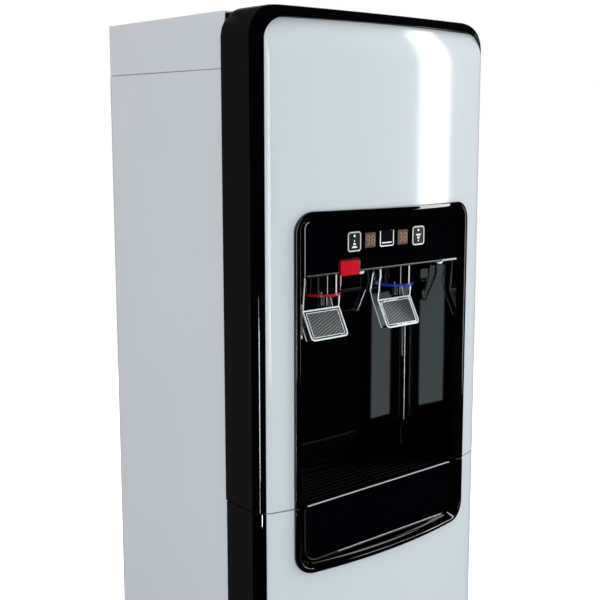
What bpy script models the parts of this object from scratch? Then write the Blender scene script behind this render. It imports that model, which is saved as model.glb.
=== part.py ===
"""Bottom-loading water cooler: a floor-standing cabinet with a dispensing bay and a hinged lower door."""
import math

import bmesh
import bpy
from mathutils import Vector

# Driving sizes of the cabinet. x is centred, y runs back from the front panel's apex, z up from the floor.
WIDTH = 0.310
HEIGHT = 1.040
CABINET_DEPTH = 0.288
SPLIT_DROP = 0.474
BOW_RADIUS = 0.560
GAP = 0.0003
OVERRUN = 0.020
BOW_STEPS = 16
CORNER_STEPS = 6

# Black surround of the front, above and below the split
FRAME_REAR = 0.076
FRAME_SHOULDER = 0.033
FRAME_SIDE_BAND = 0.0080
FRAME_TOP_BAND = 0.0122
FRAME_RADIUS = 0.030
FRAME_INNER_RADIUS = 0.020
FRAME_LIP = 0.0060
FRAME_STEP = 0.0008
FRAME_WALL_SHARE = 0.32
FRAME_TONGUE = 0.0045
FRAME_TONGUE_SHARES = (0.56, 0.86)
FRAME_FLANGE = 0.0025
BAND_SHARES = ((0.121, 0.416), (0.483, 0.778))
SPLIT_HALF_GAP = 0.0006
DOOR_BOTTOM = 0.0375
DOOR_REAR = 0.0745
DOOR_RADIUS = 0.014
DOOR_INNER_RADIUS = 0.008
DOOR_FLANGE_SHARE = 1.7

# Curved front panels and the liner behind the lower one
PANEL_THICKNESS = 0.003
LINER_SETBACK = 0.0075
LINER_THICKNESS = 0.002
LINER_EDGE = 0.0085
LINER_NOTCH_GAP = 0.0007
LINER_NOTCH_RADIUS = 0.003

# Cabinet sheets
SHEET = 0.001
BODY_INSET = 0.0045
COVER_DROP = 0.0038
COVER_HEIGHT = 0.0527
COVER_WALL = 0.002
BODY_FRONT = 0.0808
FLANGE_WIDTH = 0.0105
REAR_SHEET = 0.0009

# Base and feet
BASE_BOTTOM = 0.010
BASE_TOP = 0.036
BASE_FRONT = 0.0345
BASE_WALL = 0.003
FOOT_RADIUS = 0.017
FOOT_STEM_RADIUS = 0.004
FOOT_STEM_TOP = 0.028
FOOT_BOSS_RADIUS = 0.009
FOOT_INSET_X = 0.026
FOOT_INSET_Y = 0.028

# Dispensing bay: a raised rim around a recess with an upper pocket and a tray well
RIM_MARGIN = 0.035
RIM_SIDE_BAND = 0.0128
RIM_TOP_DROP = 0.188
RIM_RADIUS = 0.020
RIM_INNER_RADIUS = 0.0075
RIM_TOP_BAND = 0.0092
RIM_SHARES = ((0.0, 0.30), (0.18, 0.85), (0.40, 1.0), (0.70, 0.95), (0.93, 0.55))
RIM_PROUD = 0.0032
RIM_NECK_SHARE = 0.55
RIM_NECK_DEPTH = 0.0045
NECK_GAP = 0.0004
BAY_WALL = 0.0022
BAY_BACK = 0.0905
BAY_CEILING = 0.002
BAY_CEILING_FRONT = 0.0195
WELL_SIDE = 0.0042
WELL_FRONT = 0.0305
WELL_BACK = 0.0881
WELL_FLOOR_DROP = 0.5163
WELL_FLOOR = 0.0022
WELL_LEDGE = 0.001

# Fascia with its keys, windows and child latch
FASCIA_FRONT = 0.012
FASCIA_THICKNESS = 0.0025
FASCIA_BOTTOM_DROP = 0.2507
FASCIA_RADIUS = 0.007
FASCIA_EDGE_GAP = 0.0004
FASCIA_LIP = 0.0043
FASCIA_LIP_HEIGHT = 0.0015
KEY_WIDTH = 0.0185
KEY_HEIGHT = 0.0205
KEY_RADIUS = 0.004
KEY_X = 0.0448
KEY_PROUD = 0.0008
KEY_BODY = 0.003
KEY_STEM_RADIUS = 0.002
KEY_STEM = 0.0038
DISPLAY_WIDTH = 0.0144
DISPLAY_HEIGHT = 0.0148
DISPLAY_X = 0.0227
INDICATOR_WIDTH = 0.021
INDICATOR_HEIGHT = 0.0166
WINDOW_PROUD = 0.0002
PANEL_ROW_DROP = 0.2205
BOARD_FRONT = 0.020
BOARD_THICKNESS = 0.0016
BOARD_HALF_WIDTH = 0.063
BOARD_HALF_HEIGHT = 0.0145
BOARD_POST_RADIUS = 0.0025
BOARD_POST_X = 0.0590
BOARD_POST_Z = 0.0115
LATCH_X = -0.0505
LATCH_WIDTH = 0.0276
LATCH_TOP_DROP = 0.2366
LATCH_BOTTOM_DROP = 0.2536
LATCH_FRONT = 0.0105
LATCH_THICKNESS = 0.003
LATCH_RADIUS = 0.0015
LATCH_PIVOT_Y = 0.0172
LATCH_PIVOT_DROP = 0.240
LATCH_BARREL_RADIUS = 0.0026
LATCH_ARM_HALF = 0.0014
LATCH_PIN_RADIUS = 0.001
LATCH_EAR = 0.0018
LATCH_EAR_HALF = 0.004
LATCH_EAR_BACK = 0.0205

# Taps and their levers
TAP_X = 0.052
TAP_Y = 0.051
TAP_RADIUS = 0.0185
TAP_TOP_DROP = 0.232
TAP_BOTTOM_DROP = 0.2765
TAP_TOP_ROUND = 0.002
TAP_HOLE_GAP = 0.0007
NOZZLE_RADIUS = 0.0065
NOZZLE_LENGTH = 0.011
NOZZLE_BORE_RADIUS = 0.0025
NOZZLE_BORE_DEPTH = 0.0255
RING_HEIGHT = 0.003
RING_PROUD = 0.001
STEM_RADIUS = 0.007
STEM_DROP = 0.2405
STEM_START = 0.009
STEM_REACH = 0.0198
STEM_HOLE_GAP = 0.0004
LEVER_PIVOT_Y = 0.055
LEVER_PIVOT_DROP = 0.2395
LEVER_HALF = 0.0243
LEVER_PLATE = 0.0025
LEVER_LENGTH = 0.081
LEVER_DEPTH = 0.0271
LEVER_PADDLE = 0.0026
LEVER_EYE_RADIUS = 0.0055
LEVER_SIDE_SHARES = ((0.203, -0.30), (0.354, -0.53), (0.196, -0.668), (-0.314, -1.0), (-0.646, -0.988),
                     (-0.092, -0.642), (-0.203, -0.30))
LEVER_PIN_RADIUS = 0.0015
LEVER_PIN_OVERHANG = 0.0013
LEVER_SLOT_GAP = 0.0006
LEVER_SLOT_FRONT = 0.047
LEVER_SLOT_BACK = 0.067
SPRING_RADIUS = 0.0035

# Drip tray and its grille
TRAY_FRONT = 0.014
TRAY_PLATE = 0.0028
TRAY_FRONT_SIDE = 0.0022
TRAY_FRONT_TOP_DROP = 0.4757
TRAY_FRONT_BOTTOM_DROP = 0.5325
TRAY_FRONT_RADIUS = 0.014
TRAY_FRONT_TOP_RADIUS = 0.003
TRAY_SIDE = 0.002
TRAY_BACK = 0.0860
TRAY_RIM_DROP = 0.478
TRAY_WALL = 0.0018
GRILLE_THICKNESS = 0.0017
GRILLE_EDGE = 0.006
GRILLE_SLOT = 0.004
GRILLE_BAR = 0.003

# Rim piece of the door around the tray front
INSET_BOTTOM_DROP = 0.542
INSET_SIDE_BAND = 0.0115
INSET_BOTTOM_BAND = 0.0085
INSET_INNER_RADIUS = 0.012
INSET_BACK = 0.026
INSET_WALL_SHARE = 0.82

# Door hinge and catch
HINGE_INSET = 0.012
HINGE_Y = 0.064
HINGE_PIN_RADIUS = 0.003
HINGE_PIN_LENGTH = 0.0260
HINGE_BLOCK_HEIGHT = 0.0215
HINGE_BLOCK_REACH = 0.0095
HINGE_BLOCK_DEPTH = 0.0295
HINGE_BLOCK_CLEAR = 0.0050
HINGE_BRACKET_THICKNESS = 0.002
HINGE_BRACKET_REACH = 0.015
HINGE_BRACKET_EDGE = 0.0044
HINGE_BRACKET_NOSE = 0.010
HINGE_BRACKET_NECK_GAP = 0.0013
HINGE_BRACKET_WIDTH = 0.0265
HINGE_BRACKET_INSET = 0.0120
HINGE_BRACKET_FOOT = 0.0198
MAGNET_HEIGHT = 0.040
MAGNET_WIDTH = 0.008
MAGNET_HEIGHT_SHARE = 0.53

# Partition above the bottle compartment and the shelf for the tanks
CEILING_DROP_BELOW_SPLIT = 0.006
TRAY_SHEET = 0.0012
SHEET_FLANGE = 0.012
TANK_SHELF_DROP = 0.295
TANK_SHELF_CLEAR = 0.0247

# Cooling and heating units
COMPRESSOR_INSET = 0.0125
COMPRESSOR_DEPTH_SHARE = 0.3086
COMPRESSOR_REAR_CLEAR = 0.0165
COMPRESSOR_MARGIN = 0.002
COMPRESSOR_HEIGHT = 0.140
COMPRESSOR_SHARES = ((0.0, 1.0), (0.45, 0.985), (0.80, 0.91), (0.97, 0.78), (1.0, 0.60), (1.0, 0.20),
                     (0.88, 0.05), (0.70, 0.0), (0.0, 0.0))
COMPRESSOR_PLATE = 0.003
MOUNT_RADIUS = 0.008
MOUNT_HEIGHT = 0.010
MOUNT_INSET = 0.010
TERMINAL_BOX = 0.034
TERMINAL_DEPTH = 0.014
TERMINAL_Z_SHARE = 0.35
FOAM_DEPTH_SHARE = 0.3394
COLD_TANK_SIDE_SHARE = 0.16
HOT_TANK_SIDE_SHARE = 0.45
TANK_REAR_CLEAR = 0.0105
COLD_TANK_HEIGHT = 0.190
FOAM_WALL = 0.0110
FOAM_HEIGHT = 0.212
FOAM_FLOOR = 0.013
EVAPORATOR_WALL = 0.0054
EVAPORATOR_START = 0.020
EVAPORATOR_HEIGHT = 0.100
LID_HEIGHT = 0.008
LID_PORT_RADIUS = 0.006
LID_PORT_HEIGHT = 0.012
LID_PORT_OFFSET_X = 0.010
LID_PORT_OFFSET_Y = 0.027
HOT_TANK_RADIUS = 0.0450
HOT_TANK_HEIGHT = 0.150
HOT_TANK_SHARES = ((0.0, 1.0), (0.70, 0.985), (0.94, 0.94), (1.0, 0.86), (1.0, 0.14), (0.94, 0.06),
                   (0.70, 0.0), (0.0, 0.0))
HEATER_START = 0.072
HEATER_HEIGHT = 0.030
HEATER_WALL = 0.003
HOSE_RADIUS = 0.006
HOSE_BORE_RADIUS = 0.004
HOT_HOSE_SEAT = 0.0007
SUPPLY_RADIUS = 0.0045
SUPPLY_RISER_INSET = 0.0245
SUPPLY_RISER_CLEAR = 0.0158
SUPPLY_TOP_RISE = 0.022
SUPPLY_ROUND_SHARE = 0.48

# Pump, suction hose and bottle probe
PROBE_INSET_X = 0.0375
PROBE_INSET_Y = 0.0251
PUMP_RADIUS = 0.019
PUMP_HEIGHT = 0.062
PUMP_FOOT_HALF = 0.022
PUMP_FOOT = 0.008
PUMP_PORT_LENGTH = 0.012
PUMP_PORT_SHARE = 0.7
SUCTION_RADIUS = 0.0045
SUCTION_BORE_RADIUS = 0.003
PROBE_CAP_RADIUS = 0.024
PROBE_CAP_DROP = 0.037
PROBE_CAP_HEIGHT = 0.028
PROBE_TUBE_RADIUS = 0.007
PROBE_BORE_RADIUS = 0.0045
PROBE_FOOT_RADIUS = 0.011
PROBE_FOOT_HEIGHT = 0.018

# Rear fittings
CONDENSER_SETBACK = 0.0145
CONDENSER_TUBE_RADIUS = 0.0024
CONDENSER_SIDE = 0.0455
CONDENSER_DROP = 0.350
CONDENSER_PITCH = 0.030
CONDENSER_RUNS = 9
CONDENSER_WIRES = 7
CONDENSER_WIRE = 0.0014
CONDENSER_WIRE_OVERHANG = 0.012
CONDENSER_STUB = 0.0045
CONDENSER_BEND_STEPS = 4
LUG_RADIUS = 0.005
SWITCH_RISE = 0.080
SWITCH_INSET = 0.0605
SWITCH_PITCH = 0.034
SWITCH_HALF_WIDTH = 0.0065
SWITCH_HALF_HEIGHT = 0.0095
SWITCH_BODY = 0.014
SWITCH_COLLAR = 0.002
SWITCH_COLLAR_PROUD = 0.0016
SWITCH_WALL = 0.001
ROCKER_DEPTH = 0.0065
ROCKER_THROW = 14.0
ROCKER_PIVOT_SETBACK = 0.003
ROCKER_REACH_SHARE = 0.94
ROCKER_ROOT_SHARE = 0.40
GLAND_INSET = 0.0555
GLAND_RISE = 0.040
GLAND_RADIUS = 0.009
GLAND_NECK_RADIUS = 0.0065
GLAND_BORE_RADIUS = 0.0036
GLAND_FLANGE = 0.003
GLAND_NECK = 0.006
PLUG_SPACING = 0.050
PLUG_RADIUS = 0.009
PLUG_NECK_RADIUS = 0.006
PLUG_HEAD = 0.009
PLUG_NECK = 0.012
VENT_WIDTH = 0.070
VENT_SLOT = 0.004
VENT_PITCH = 0.010
VENT_COUNT = 5
VENT_RISE = 0.030
VENT_INSET = 0.0905
HOLE_GAP = 0.0004

# Places that follow from the sizes above
HALF = WIDTH / 2
SPLIT_Z = HEIGHT - SPLIT_DROP
BODY_HALF = HALF - BODY_INSET
REAR_FACE = CABINET_DEPTH
REAR_INNER = CABINET_DEPTH - REAR_SHEET
COVER_TOP = HEIGHT - COVER_DROP
SEAM_Z = COVER_TOP - COVER_HEIGHT
RIM_HALF = HALF - RIM_MARGIN
BAY_HALF = RIM_HALF - RIM_SIDE_BAND
INSET_INNER_HALF = RIM_HALF - INSET_SIDE_BAND
WELL_HALF = BAY_HALF - WELL_SIDE
TRAY_FRONT_HALF = BAY_HALF - TRAY_FRONT_SIDE
TRAY_HALF = WELL_HALF - TRAY_SIDE
RIM_INNER_TOP = HEIGHT - RIM_TOP_DROP - RIM_TOP_BAND
FASCIA_BOTTOM = HEIGHT - FASCIA_BOTTOM_DROP
WELL_FLOOR_TOP = HEIGHT - WELL_FLOOR_DROP
CEILING_Z = SPLIT_Z - CEILING_DROP_BELOW_SPLIT
CEILING_TOP = CEILING_Z + TRAY_SHEET
TANK_SHELF_Z = HEIGHT - TANK_SHELF_DROP
TANK_SEAT = TANK_SHELF_Z + TRAY_SHEET + GAP
PANEL_ROW_Z = HEIGHT - PANEL_ROW_DROP
LEVER_PIVOT_Z = HEIGHT - LEVER_PIVOT_DROP
HINGE_X = HALF - HINGE_INSET
PROBE_X = BODY_HALF - PROBE_INSET_X
PROBE_Y = REAR_INNER - PROBE_INSET_Y
PROBE_CAP_TOP = CEILING_Z - PROBE_CAP_DROP
STEM_END = BAY_BACK + BAY_WALL + STEM_REACH
UNIT_DEPTH = REAR_INNER - BAY_BACK - BAY_WALL
FOAM_RADIUS = UNIT_DEPTH * FOAM_DEPTH_SHARE
COLD_TANK_RADIUS = FOAM_RADIUS - FOAM_WALL - EVAPORATOR_WALL - 2 * GAP
SPARE_WIDTH = 2 * (BODY_HALF - FOAM_RADIUS - HOT_TANK_RADIUS)
COLD_TANK_X = BODY_HALF - FOAM_RADIUS - SPARE_WIDTH * COLD_TANK_SIDE_SHARE
HOT_TANK_X = HOT_TANK_RADIUS + SPARE_WIDTH * HOT_TANK_SIDE_SHARE - BODY_HALF
TANK_Y = REAR_INNER - FOAM_RADIUS - TANK_REAR_CLEAR
COMPRESSOR_PLATE_HALF = UNIT_DEPTH * COMPRESSOR_DEPTH_SHARE
COMPRESSOR_RADIUS = COMPRESSOR_PLATE_HALF - COMPRESSOR_MARGIN
COMPRESSOR_X = COMPRESSOR_PLATE_HALF + COMPRESSOR_INSET - BODY_HALF
COMPRESSOR_Y = REAR_INNER - COMPRESSOR_REAR_CLEAR - COMPRESSOR_PLATE_HALF
LID_PORT_X = COLD_TANK_X + LID_PORT_OFFSET_X
LID_PORT_Y = TANK_Y - LID_PORT_OFFSET_Y
SUPPLY_RISER_X = BODY_HALF - SUPPLY_RISER_INSET
SUPPLY_RISER_Y = BAY_BACK + BAY_WALL + SUPPLY_RISER_CLEAR
CONDENSER_HALF = BODY_HALF - CONDENSER_SIDE
SWITCH_X = SWITCH_INSET - BODY_HALF
SWITCH_Z = CEILING_Z + SWITCH_RISE
GLAND_X = BODY_HALF - GLAND_INSET
GLAND_Z = CEILING_Z + GLAND_RISE
PLUG_X = GLAND_X - PLUG_SPACING
VENT_X = VENT_INSET - BODY_HALF
VENT_Z = CEILING_Z + VENT_RISE
LATCH_PIVOT_Z = HEIGHT - LATCH_PIVOT_DROP
STEM_Z = HEIGHT - STEM_DROP
TAP_BOTTOM = HEIGHT - TAP_BOTTOM_DROP
PUMP_BOTTOM = CEILING_TOP + GAP
CONDENSER_Y = REAR_FACE + CONDENSER_SETBACK
REAR_REACH = CONDENSER_Y + CONDENSER_TUBE_RADIUS + CONDENSER_WIRE / 2
SHELF_BACK = REAR_INNER - 2 * GAP - SHEET
FRONT_REACH = -RIM_PROUD

SHARP_ANGLE = math.radians(32)


def clear_scene():
    for item in list(bpy.data.objects):
        bpy.data.objects.remove(item, do_unlink=True)


def make_material(name, colour, roughness, metallic=0.0):
    material = bpy.data.materials.new(name)
    material.use_nodes = True
    shader = material.node_tree.nodes["Principled BSDF"]
    shader.inputs["Base Color"].default_value = (*colour, 1.0)
    shader.inputs["Roughness"].default_value = roughness
    shader.inputs["Metallic"].default_value = metallic
    material.diffuse_color = (*colour, 1.0)
    return material


# Shape helpers: each returns a bmesh in the cooler's frame

def bow(x):
    """Setback of the bowed front at a distance x from the middle."""
    return BOW_RADIUS - math.sqrt(BOW_RADIUS ** 2 - x * x)


def arc(centre, radius, start, end, steps=CORNER_STEPS):
    points = []
    for step in range(steps + 1):
        angle = math.radians(start + (end - start) * step / steps)
        points.append((centre[0] + radius * math.cos(angle), centre[1] + radius * math.sin(angle)))
    return points


def rounded_rect(left, right, low, high, bottom_radius, top_radius=None):
    top_radius = bottom_radius if top_radius is None else top_radius
    points = arc((right - bottom_radius, low + bottom_radius), bottom_radius, -90, 0)
    points += arc((right - top_radius, high - top_radius), top_radius, 0, 90)
    points += arc((left + top_radius, high - top_radius), top_radius, 90, 180)
    points += arc((left + bottom_radius, low + bottom_radius), bottom_radius, 180, 270)
    return points


def place(axis, u, v, along):
    """A point from its outline coordinates and its distance along the extrusion axis."""
    if axis == "x":
        return (along, u, v)
    if axis == "y":
        return (u, along, v)
    return (u, v, along)


def prism(outline, axis, start, end, shape=None):
    shape = shape or bmesh.new()
    near = [shape.verts.new(place(axis, u, v, start)) for u, v in outline]
    far = [shape.verts.new(place(axis, u, v, end)) for u, v in outline]
    faces = [shape.faces.new(near), shape.faces.new(far)]
    count = len(outline)
    for index in range(count):
        other = (index + 1) % count
        faces.append(shape.faces.new((near[index], near[other], far[other], far[index])))
    bmesh.ops.recalc_face_normals(shape, faces=faces)
    return shape


def block(x, y, z, shape=None):
    """A box from its three (low, high) pairs."""
    outline = [(x[0], y[0]), (x[1], y[0]), (x[1], y[1]), (x[0], y[1])]
    return prism(outline, "z", z[0], z[1], shape)


def rod(axis, centre, radius, start, end, sides=16, shape=None):
    """A cylinder along an axis; centre is given in the other two coordinates."""
    outline = [(centre[0] + radius * math.cos(2 * math.pi * side / sides),
                centre[1] + radius * math.sin(2 * math.pi * side / sides)) for side in range(sides)]
    return prism(outline, axis, start, end, shape)


def turned(profile, centre, axis="z", sides=24, closed=False, shape=None):
    """A turned solid from (radius, height) points; an open profile starts and ends on the axis."""
    shape = shape or bmesh.new()
    rings = []
    for radius, height in profile:
        ring = []
        if radius == 0:
            ring = [shape.verts.new(place(axis, centre[0], centre[1], height))] * sides
        else:
            for side in range(sides):
                angle = 2 * math.pi * side / sides
                point = place(axis, centre[0] + radius * math.cos(angle),
                              centre[1] + radius * math.sin(angle), height)
                ring.append(shape.verts.new(point))
        rings.append(ring)
    faces = []
    pairs = list(zip(rings, rings[1:]))
    if closed:
        pairs.append((rings[-1], rings[0]))
    for upper, lower in pairs:
        for side in range(sides):
            other = (side + 1) % sides
            corners = []
            for vert in (upper[side], upper[other], lower[other], lower[side]):
                if vert not in corners:
                    corners.append(vert)
            if len(corners) > 2:
                faces.append(shape.faces.new(corners))
    bmesh.ops.recalc_face_normals(shape, faces=faces)
    return shape


def sleeve(axis, centre, outer, inner, start, end, sides=16, shape=None):
    profile = ((outer, end), (outer, start), (inner, start), (inner, end))
    return turned(profile, centre, axis, sides, closed=True, shape=shape)


def arch(half, open_z, closed_z, radius):
    """An outline open at one end: up one side, round two corners and down the other."""
    sign = 1 if closed_z > open_z else -1
    corner_z = closed_z - sign * radius
    left = [(-u, v) for u, v in arc((half - radius, 0), radius, 0, 90)]
    points = [(-half, open_z)]
    points += [(u, corner_z + sign * v) for u, v in left]
    flat = half - radius
    for step in range(1, BOW_STEPS):
        points.append((-flat + 2 * flat * step / BOW_STEPS, closed_z))
    points += [(-u, corner_z + sign * v) for u, v in reversed(left)]
    points.append((half, open_z))
    return points


def surround(outer, inner, profile):
    """A solid swept round an arch. Each profile point is (share from outer to inner, setback, bow share)."""
    shape = bmesh.new()
    rings = []
    for (outer_x, outer_z), (inner_x, inner_z) in zip(outer, inner):
        ring = []
        for share, setback, bow_share in profile:
            x = outer_x + (inner_x - outer_x) * share
            z = outer_z + (inner_z - outer_z) * share
            ring.append(shape.verts.new((x, setback + bow_share * bow(x), z)))
        rings.append(ring)
    count = len(profile)
    for first, second in zip(rings, rings[1:]):
        for index in range(count):
            other = (index + 1) % count
            shape.faces.new((first[index], first[other], second[other], second[index]))
    shape.faces.new(rings[0])
    shape.faces.new(rings[-1])
    bmesh.ops.recalc_face_normals(shape, faces=shape.faces)
    return shape


def bowed_outline(half, front, back, flat_back=False):
    """Plan outline with a bowed front and a bowed or flat back."""
    xs = [-half + 2 * half * step / BOW_STEPS for step in range(BOW_STEPS + 1)]
    points = [(x, bow(x) + front) for x in xs]
    if flat_back:
        return points + [(half, back), (-half, back)]
    return points + [(x, bow(x) + back) for x in reversed(xs)]


def hose_points(corners, radius_share, steps):
    """A smooth line through corner points, rounded at each corner by a share of its shorter leg."""
    points = [Vector(corners[0])]
    for before, corner, after in zip(corners, corners[1:], corners[2:]):
        before, corner, after = Vector(before), Vector(corner), Vector(after)
        reach = radius_share * min((corner - before).length, (after - corner).length)
        start = corner + (before - corner).normalized() * reach
        end = corner + (after - corner).normalized() * reach
        for step in range(steps + 1):
            share = step / steps
            points.append(start * (1 - share) ** 2 + corner * 2 * share * (1 - share) + end * share ** 2)
    points.append(Vector(corners[-1]))
    return points


def pipe(points, radius, sides=8):
    """A round tube through points, each ring square to the line there."""
    points = [Vector(point) for point in points]
    shape = bmesh.new()
    rings = []
    across = Vector((0, 0, 1))
    for index, point in enumerate(points):
        before = points[max(index - 1, 0)]
        after = points[min(index + 1, len(points) - 1)]
        along = (after - before).normalized()
        across = (across - along * across.dot(along)).normalized()
        up = along.cross(across)
        ring = []
        for side in range(sides):
            angle = 2 * math.pi * (side + 1 / 2) / sides
            ring.append(shape.verts.new(point + (across * math.cos(angle) + up * math.sin(angle)) * radius))
        rings.append(ring)
    for first, second in zip(rings, rings[1:]):
        for side in range(sides):
            other = (side + 1) % sides
            shape.faces.new((first[side], first[other], second[other], second[side]))
    shape.faces.new(rings[0])
    shape.faces.new(rings[-1])
    bmesh.ops.recalc_face_normals(shape, faces=shape.faces)
    return shape


# Object helpers

def add_object(name, shape, material=None, pivot=(0, 0, 0)):
    """An object under the cooler, with its origin at the pivot."""
    bmesh.ops.translate(shape, verts=shape.verts, vec=-Vector(pivot))
    mesh = bpy.data.meshes.new(name)
    shape.to_mesh(mesh)
    shape.free()
    item = bpy.data.objects.new(name, mesh)
    bpy.context.scene.collection.objects.link(item)
    item.parent = COOLER
    item.location = pivot
    if material:
        mesh.materials.append(material)
        mesh.shade_smooth()
        mesh.set_sharp_from_angle(angle=SHARP_ANGLE)
    return item


def combine(item, shape, operation):
    tool = add_object(item.name + "_" + operation.lower(), shape)
    tool.hide_render = True
    tool.display_type = "WIRE"
    modifier = item.modifiers.new(operation.title(), "BOOLEAN")
    modifier.operation = operation
    modifier.object = tool
    return item


def cut(item, shape):
    return combine(item, shape, "DIFFERENCE")


def weld(item, shape):
    return combine(item, shape, "UNION")


def trim(item, shape):
    return combine(item, shape, "INTERSECT")


def tube(name, points, radius, material, resolution=2):
    curve = bpy.data.curves.new(name, "CURVE")
    curve.dimensions = "3D"
    curve.bevel_depth = radius
    curve.bevel_resolution = resolution
    curve.use_fill_caps = True
    spline = curve.splines.new("POLY")
    spline.points.add(len(points) - 1)
    for point, place_at in zip(spline.points, points):
        point.co = (*place_at, 1.0)
    item = bpy.data.objects.new(name, curve)
    bpy.context.scene.collection.objects.link(item)
    item.parent = COOLER
    curve.materials.append(material)
    return item


# Cabinet

def build_base(black, rubber):
    inside = (-BODY_HALF + BASE_WALL, BODY_HALF - BASE_WALL)
    base = add_object("base",
                      block((-BODY_HALF, BODY_HALF), (BASE_FRONT, REAR_FACE), (BASE_BOTTOM, BASE_TOP)),
                      black)
    cut(base, block(inside, (BASE_FRONT + BASE_WALL, REAR_FACE - BASE_WALL),
                    (BASE_BOTTOM - OVERRUN, BASE_TOP - BASE_WALL)))
    bosses = bmesh.new()
    bores = bmesh.new()
    for name, x, y in foot_places():
        rod("z", (x, y), FOOT_BOSS_RADIUS, BASE_BOTTOM, BASE_TOP - BASE_WALL / 2, shape=bosses)
        rod("z", (x, y), FOOT_STEM_RADIUS + GAP, BASE_BOTTOM - GAP, FOOT_STEM_TOP + GAP, shape=bores)
        pad_top = BASE_BOTTOM - GAP
        profile = ((0, FOOT_STEM_TOP), (FOOT_STEM_RADIUS, FOOT_STEM_TOP), (FOOT_STEM_RADIUS, pad_top),
                   (FOOT_RADIUS, pad_top), (FOOT_RADIUS, 0), (0, 0))
        add_object(name, turned(profile, (x, y), sides=20), rubber, (x, y, 0))
    weld(base, bosses)
    cut(base, bores)


def foot_places():
    left = -BODY_HALF + FOOT_INSET_X
    right = BODY_HALF - FOOT_INSET_X
    front = BASE_FRONT + FOOT_INSET_Y
    rear = REAR_FACE - FOOT_INSET_Y
    return (("foot_front_left", left, front), ("foot_front_right", right, front),
            ("foot_rear_left", left, rear), ("foot_rear_right", right, rear))


def build_side_panels(white):
    low = BASE_TOP + GAP
    high = SEAM_Z - GAP
    back = REAR_INNER - GAP
    for name, side in (("side_panel_left", -1), ("side_panel_right", 1)):
        outer = BODY_HALF
        inner = BODY_HALF - SHEET
        tip = BODY_HALF - SHEET - FLANGE_WIDTH
        outline = [(outer, BODY_FRONT), (outer, back), (tip, back), (tip, back - SHEET),
                   (inner, back - SHEET), (inner, BODY_FRONT + SHEET), (tip, BODY_FRONT + SHEET),
                   (tip, BODY_FRONT)]
        add_object(name, prism([(side * x, y) for x, y in outline], "z", low, high), white)


def build_rear_panel(white):
    low = BASE_TOP + GAP
    high = SEAM_Z - GAP
    panel = add_object("rear_panel", block((-BODY_HALF, BODY_HALF), (REAR_INNER, REAR_FACE), (low, high)),
                       white)
    through = (REAR_INNER - OVERRUN, REAR_FACE + OVERRUN)
    holes = bmesh.new()
    for index in range(VENT_COUNT):
        z = VENT_Z + VENT_PITCH * index - VENT_PITCH * (VENT_COUNT - 1) / 2
        block((VENT_X - VENT_WIDTH / 2, VENT_X + VENT_WIDTH / 2), through,
              (z - VENT_SLOT / 2, z + VENT_SLOT / 2), holes)
    left, right = housing_sides(HOLE_GAP)
    block((left, right), through,
          (SWITCH_Z - SWITCH_HALF_HEIGHT - HOLE_GAP, SWITCH_Z + SWITCH_HALF_HEIGHT + HOLE_GAP), holes)
    rod("y", (GLAND_X, GLAND_Z), GLAND_NECK_RADIUS + HOLE_GAP, *through, shape=holes)
    rod("y", (PLUG_X, GLAND_Z), PLUG_NECK_RADIUS + HOLE_GAP, *through, shape=holes)
    for x, z in condenser_stub_places():
        rod("y", (x, z), CONDENSER_TUBE_RADIUS + HOLE_GAP, *through, shape=holes)
    cut(panel, holes)


def build_top_cover(white):
    cover = add_object("top_cover",
                       block((-BODY_HALF, BODY_HALF), (BODY_FRONT, REAR_FACE), (SEAM_Z, COVER_TOP)), white)
    cut(cover,
        block((-BODY_HALF + COVER_WALL, BODY_HALF - COVER_WALL),
              (BODY_FRONT - OVERRUN, REAR_FACE - COVER_WALL), (SEAM_Z - OVERRUN, COVER_TOP - COVER_WALL)))


# Front surround and curved panels

def band_profile(rear):
    """Outer side, rounded band and inner lip of the surround, from the rear edge forward and back inside."""
    profile = [(0.0, rear, 0.0), (0.0, FRAME_SHOULDER, 0.0)]
    for share, turn in BAND_SHARES:
        profile.append((share, FRAME_SHOULDER * (1 - turn) + FRAME_STEP * turn, turn))
    profile.append((1.0, FRAME_STEP, 1.0))
    profile.append((1.0, FRAME_LIP, 1.0))
    profile.append((FRAME_WALL_SHARE, FRAME_SHOULDER + FRAME_FLANGE, 0.0))
    return profile


def build_upper_frame(black):
    profile = band_profile(FRAME_REAR)
    inner_share, outer_share = FRAME_TONGUE_SHARES[1], FRAME_TONGUE_SHARES[0]
    tongue_end = FRAME_REAR + FRAME_TONGUE
    profile += [(FRAME_WALL_SHARE, FRAME_REAR - FRAME_FLANGE, 0.0),
                (inner_share, FRAME_REAR - FRAME_FLANGE, 0.0), (inner_share, tongue_end, 0.0),
                (outer_share, tongue_end, 0.0), (outer_share, FRAME_REAR, 0.0)]
    low = SPLIT_Z + SPLIT_HALF_GAP
    outer = arch(HALF, low, HEIGHT, FRAME_RADIUS)
    inner = arch(HALF - FRAME_SIDE_BAND, low, HEIGHT - FRAME_TOP_BAND, FRAME_INNER_RADIUS)
    add_object("upper_frame", surround(outer, inner, profile), black)


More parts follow.
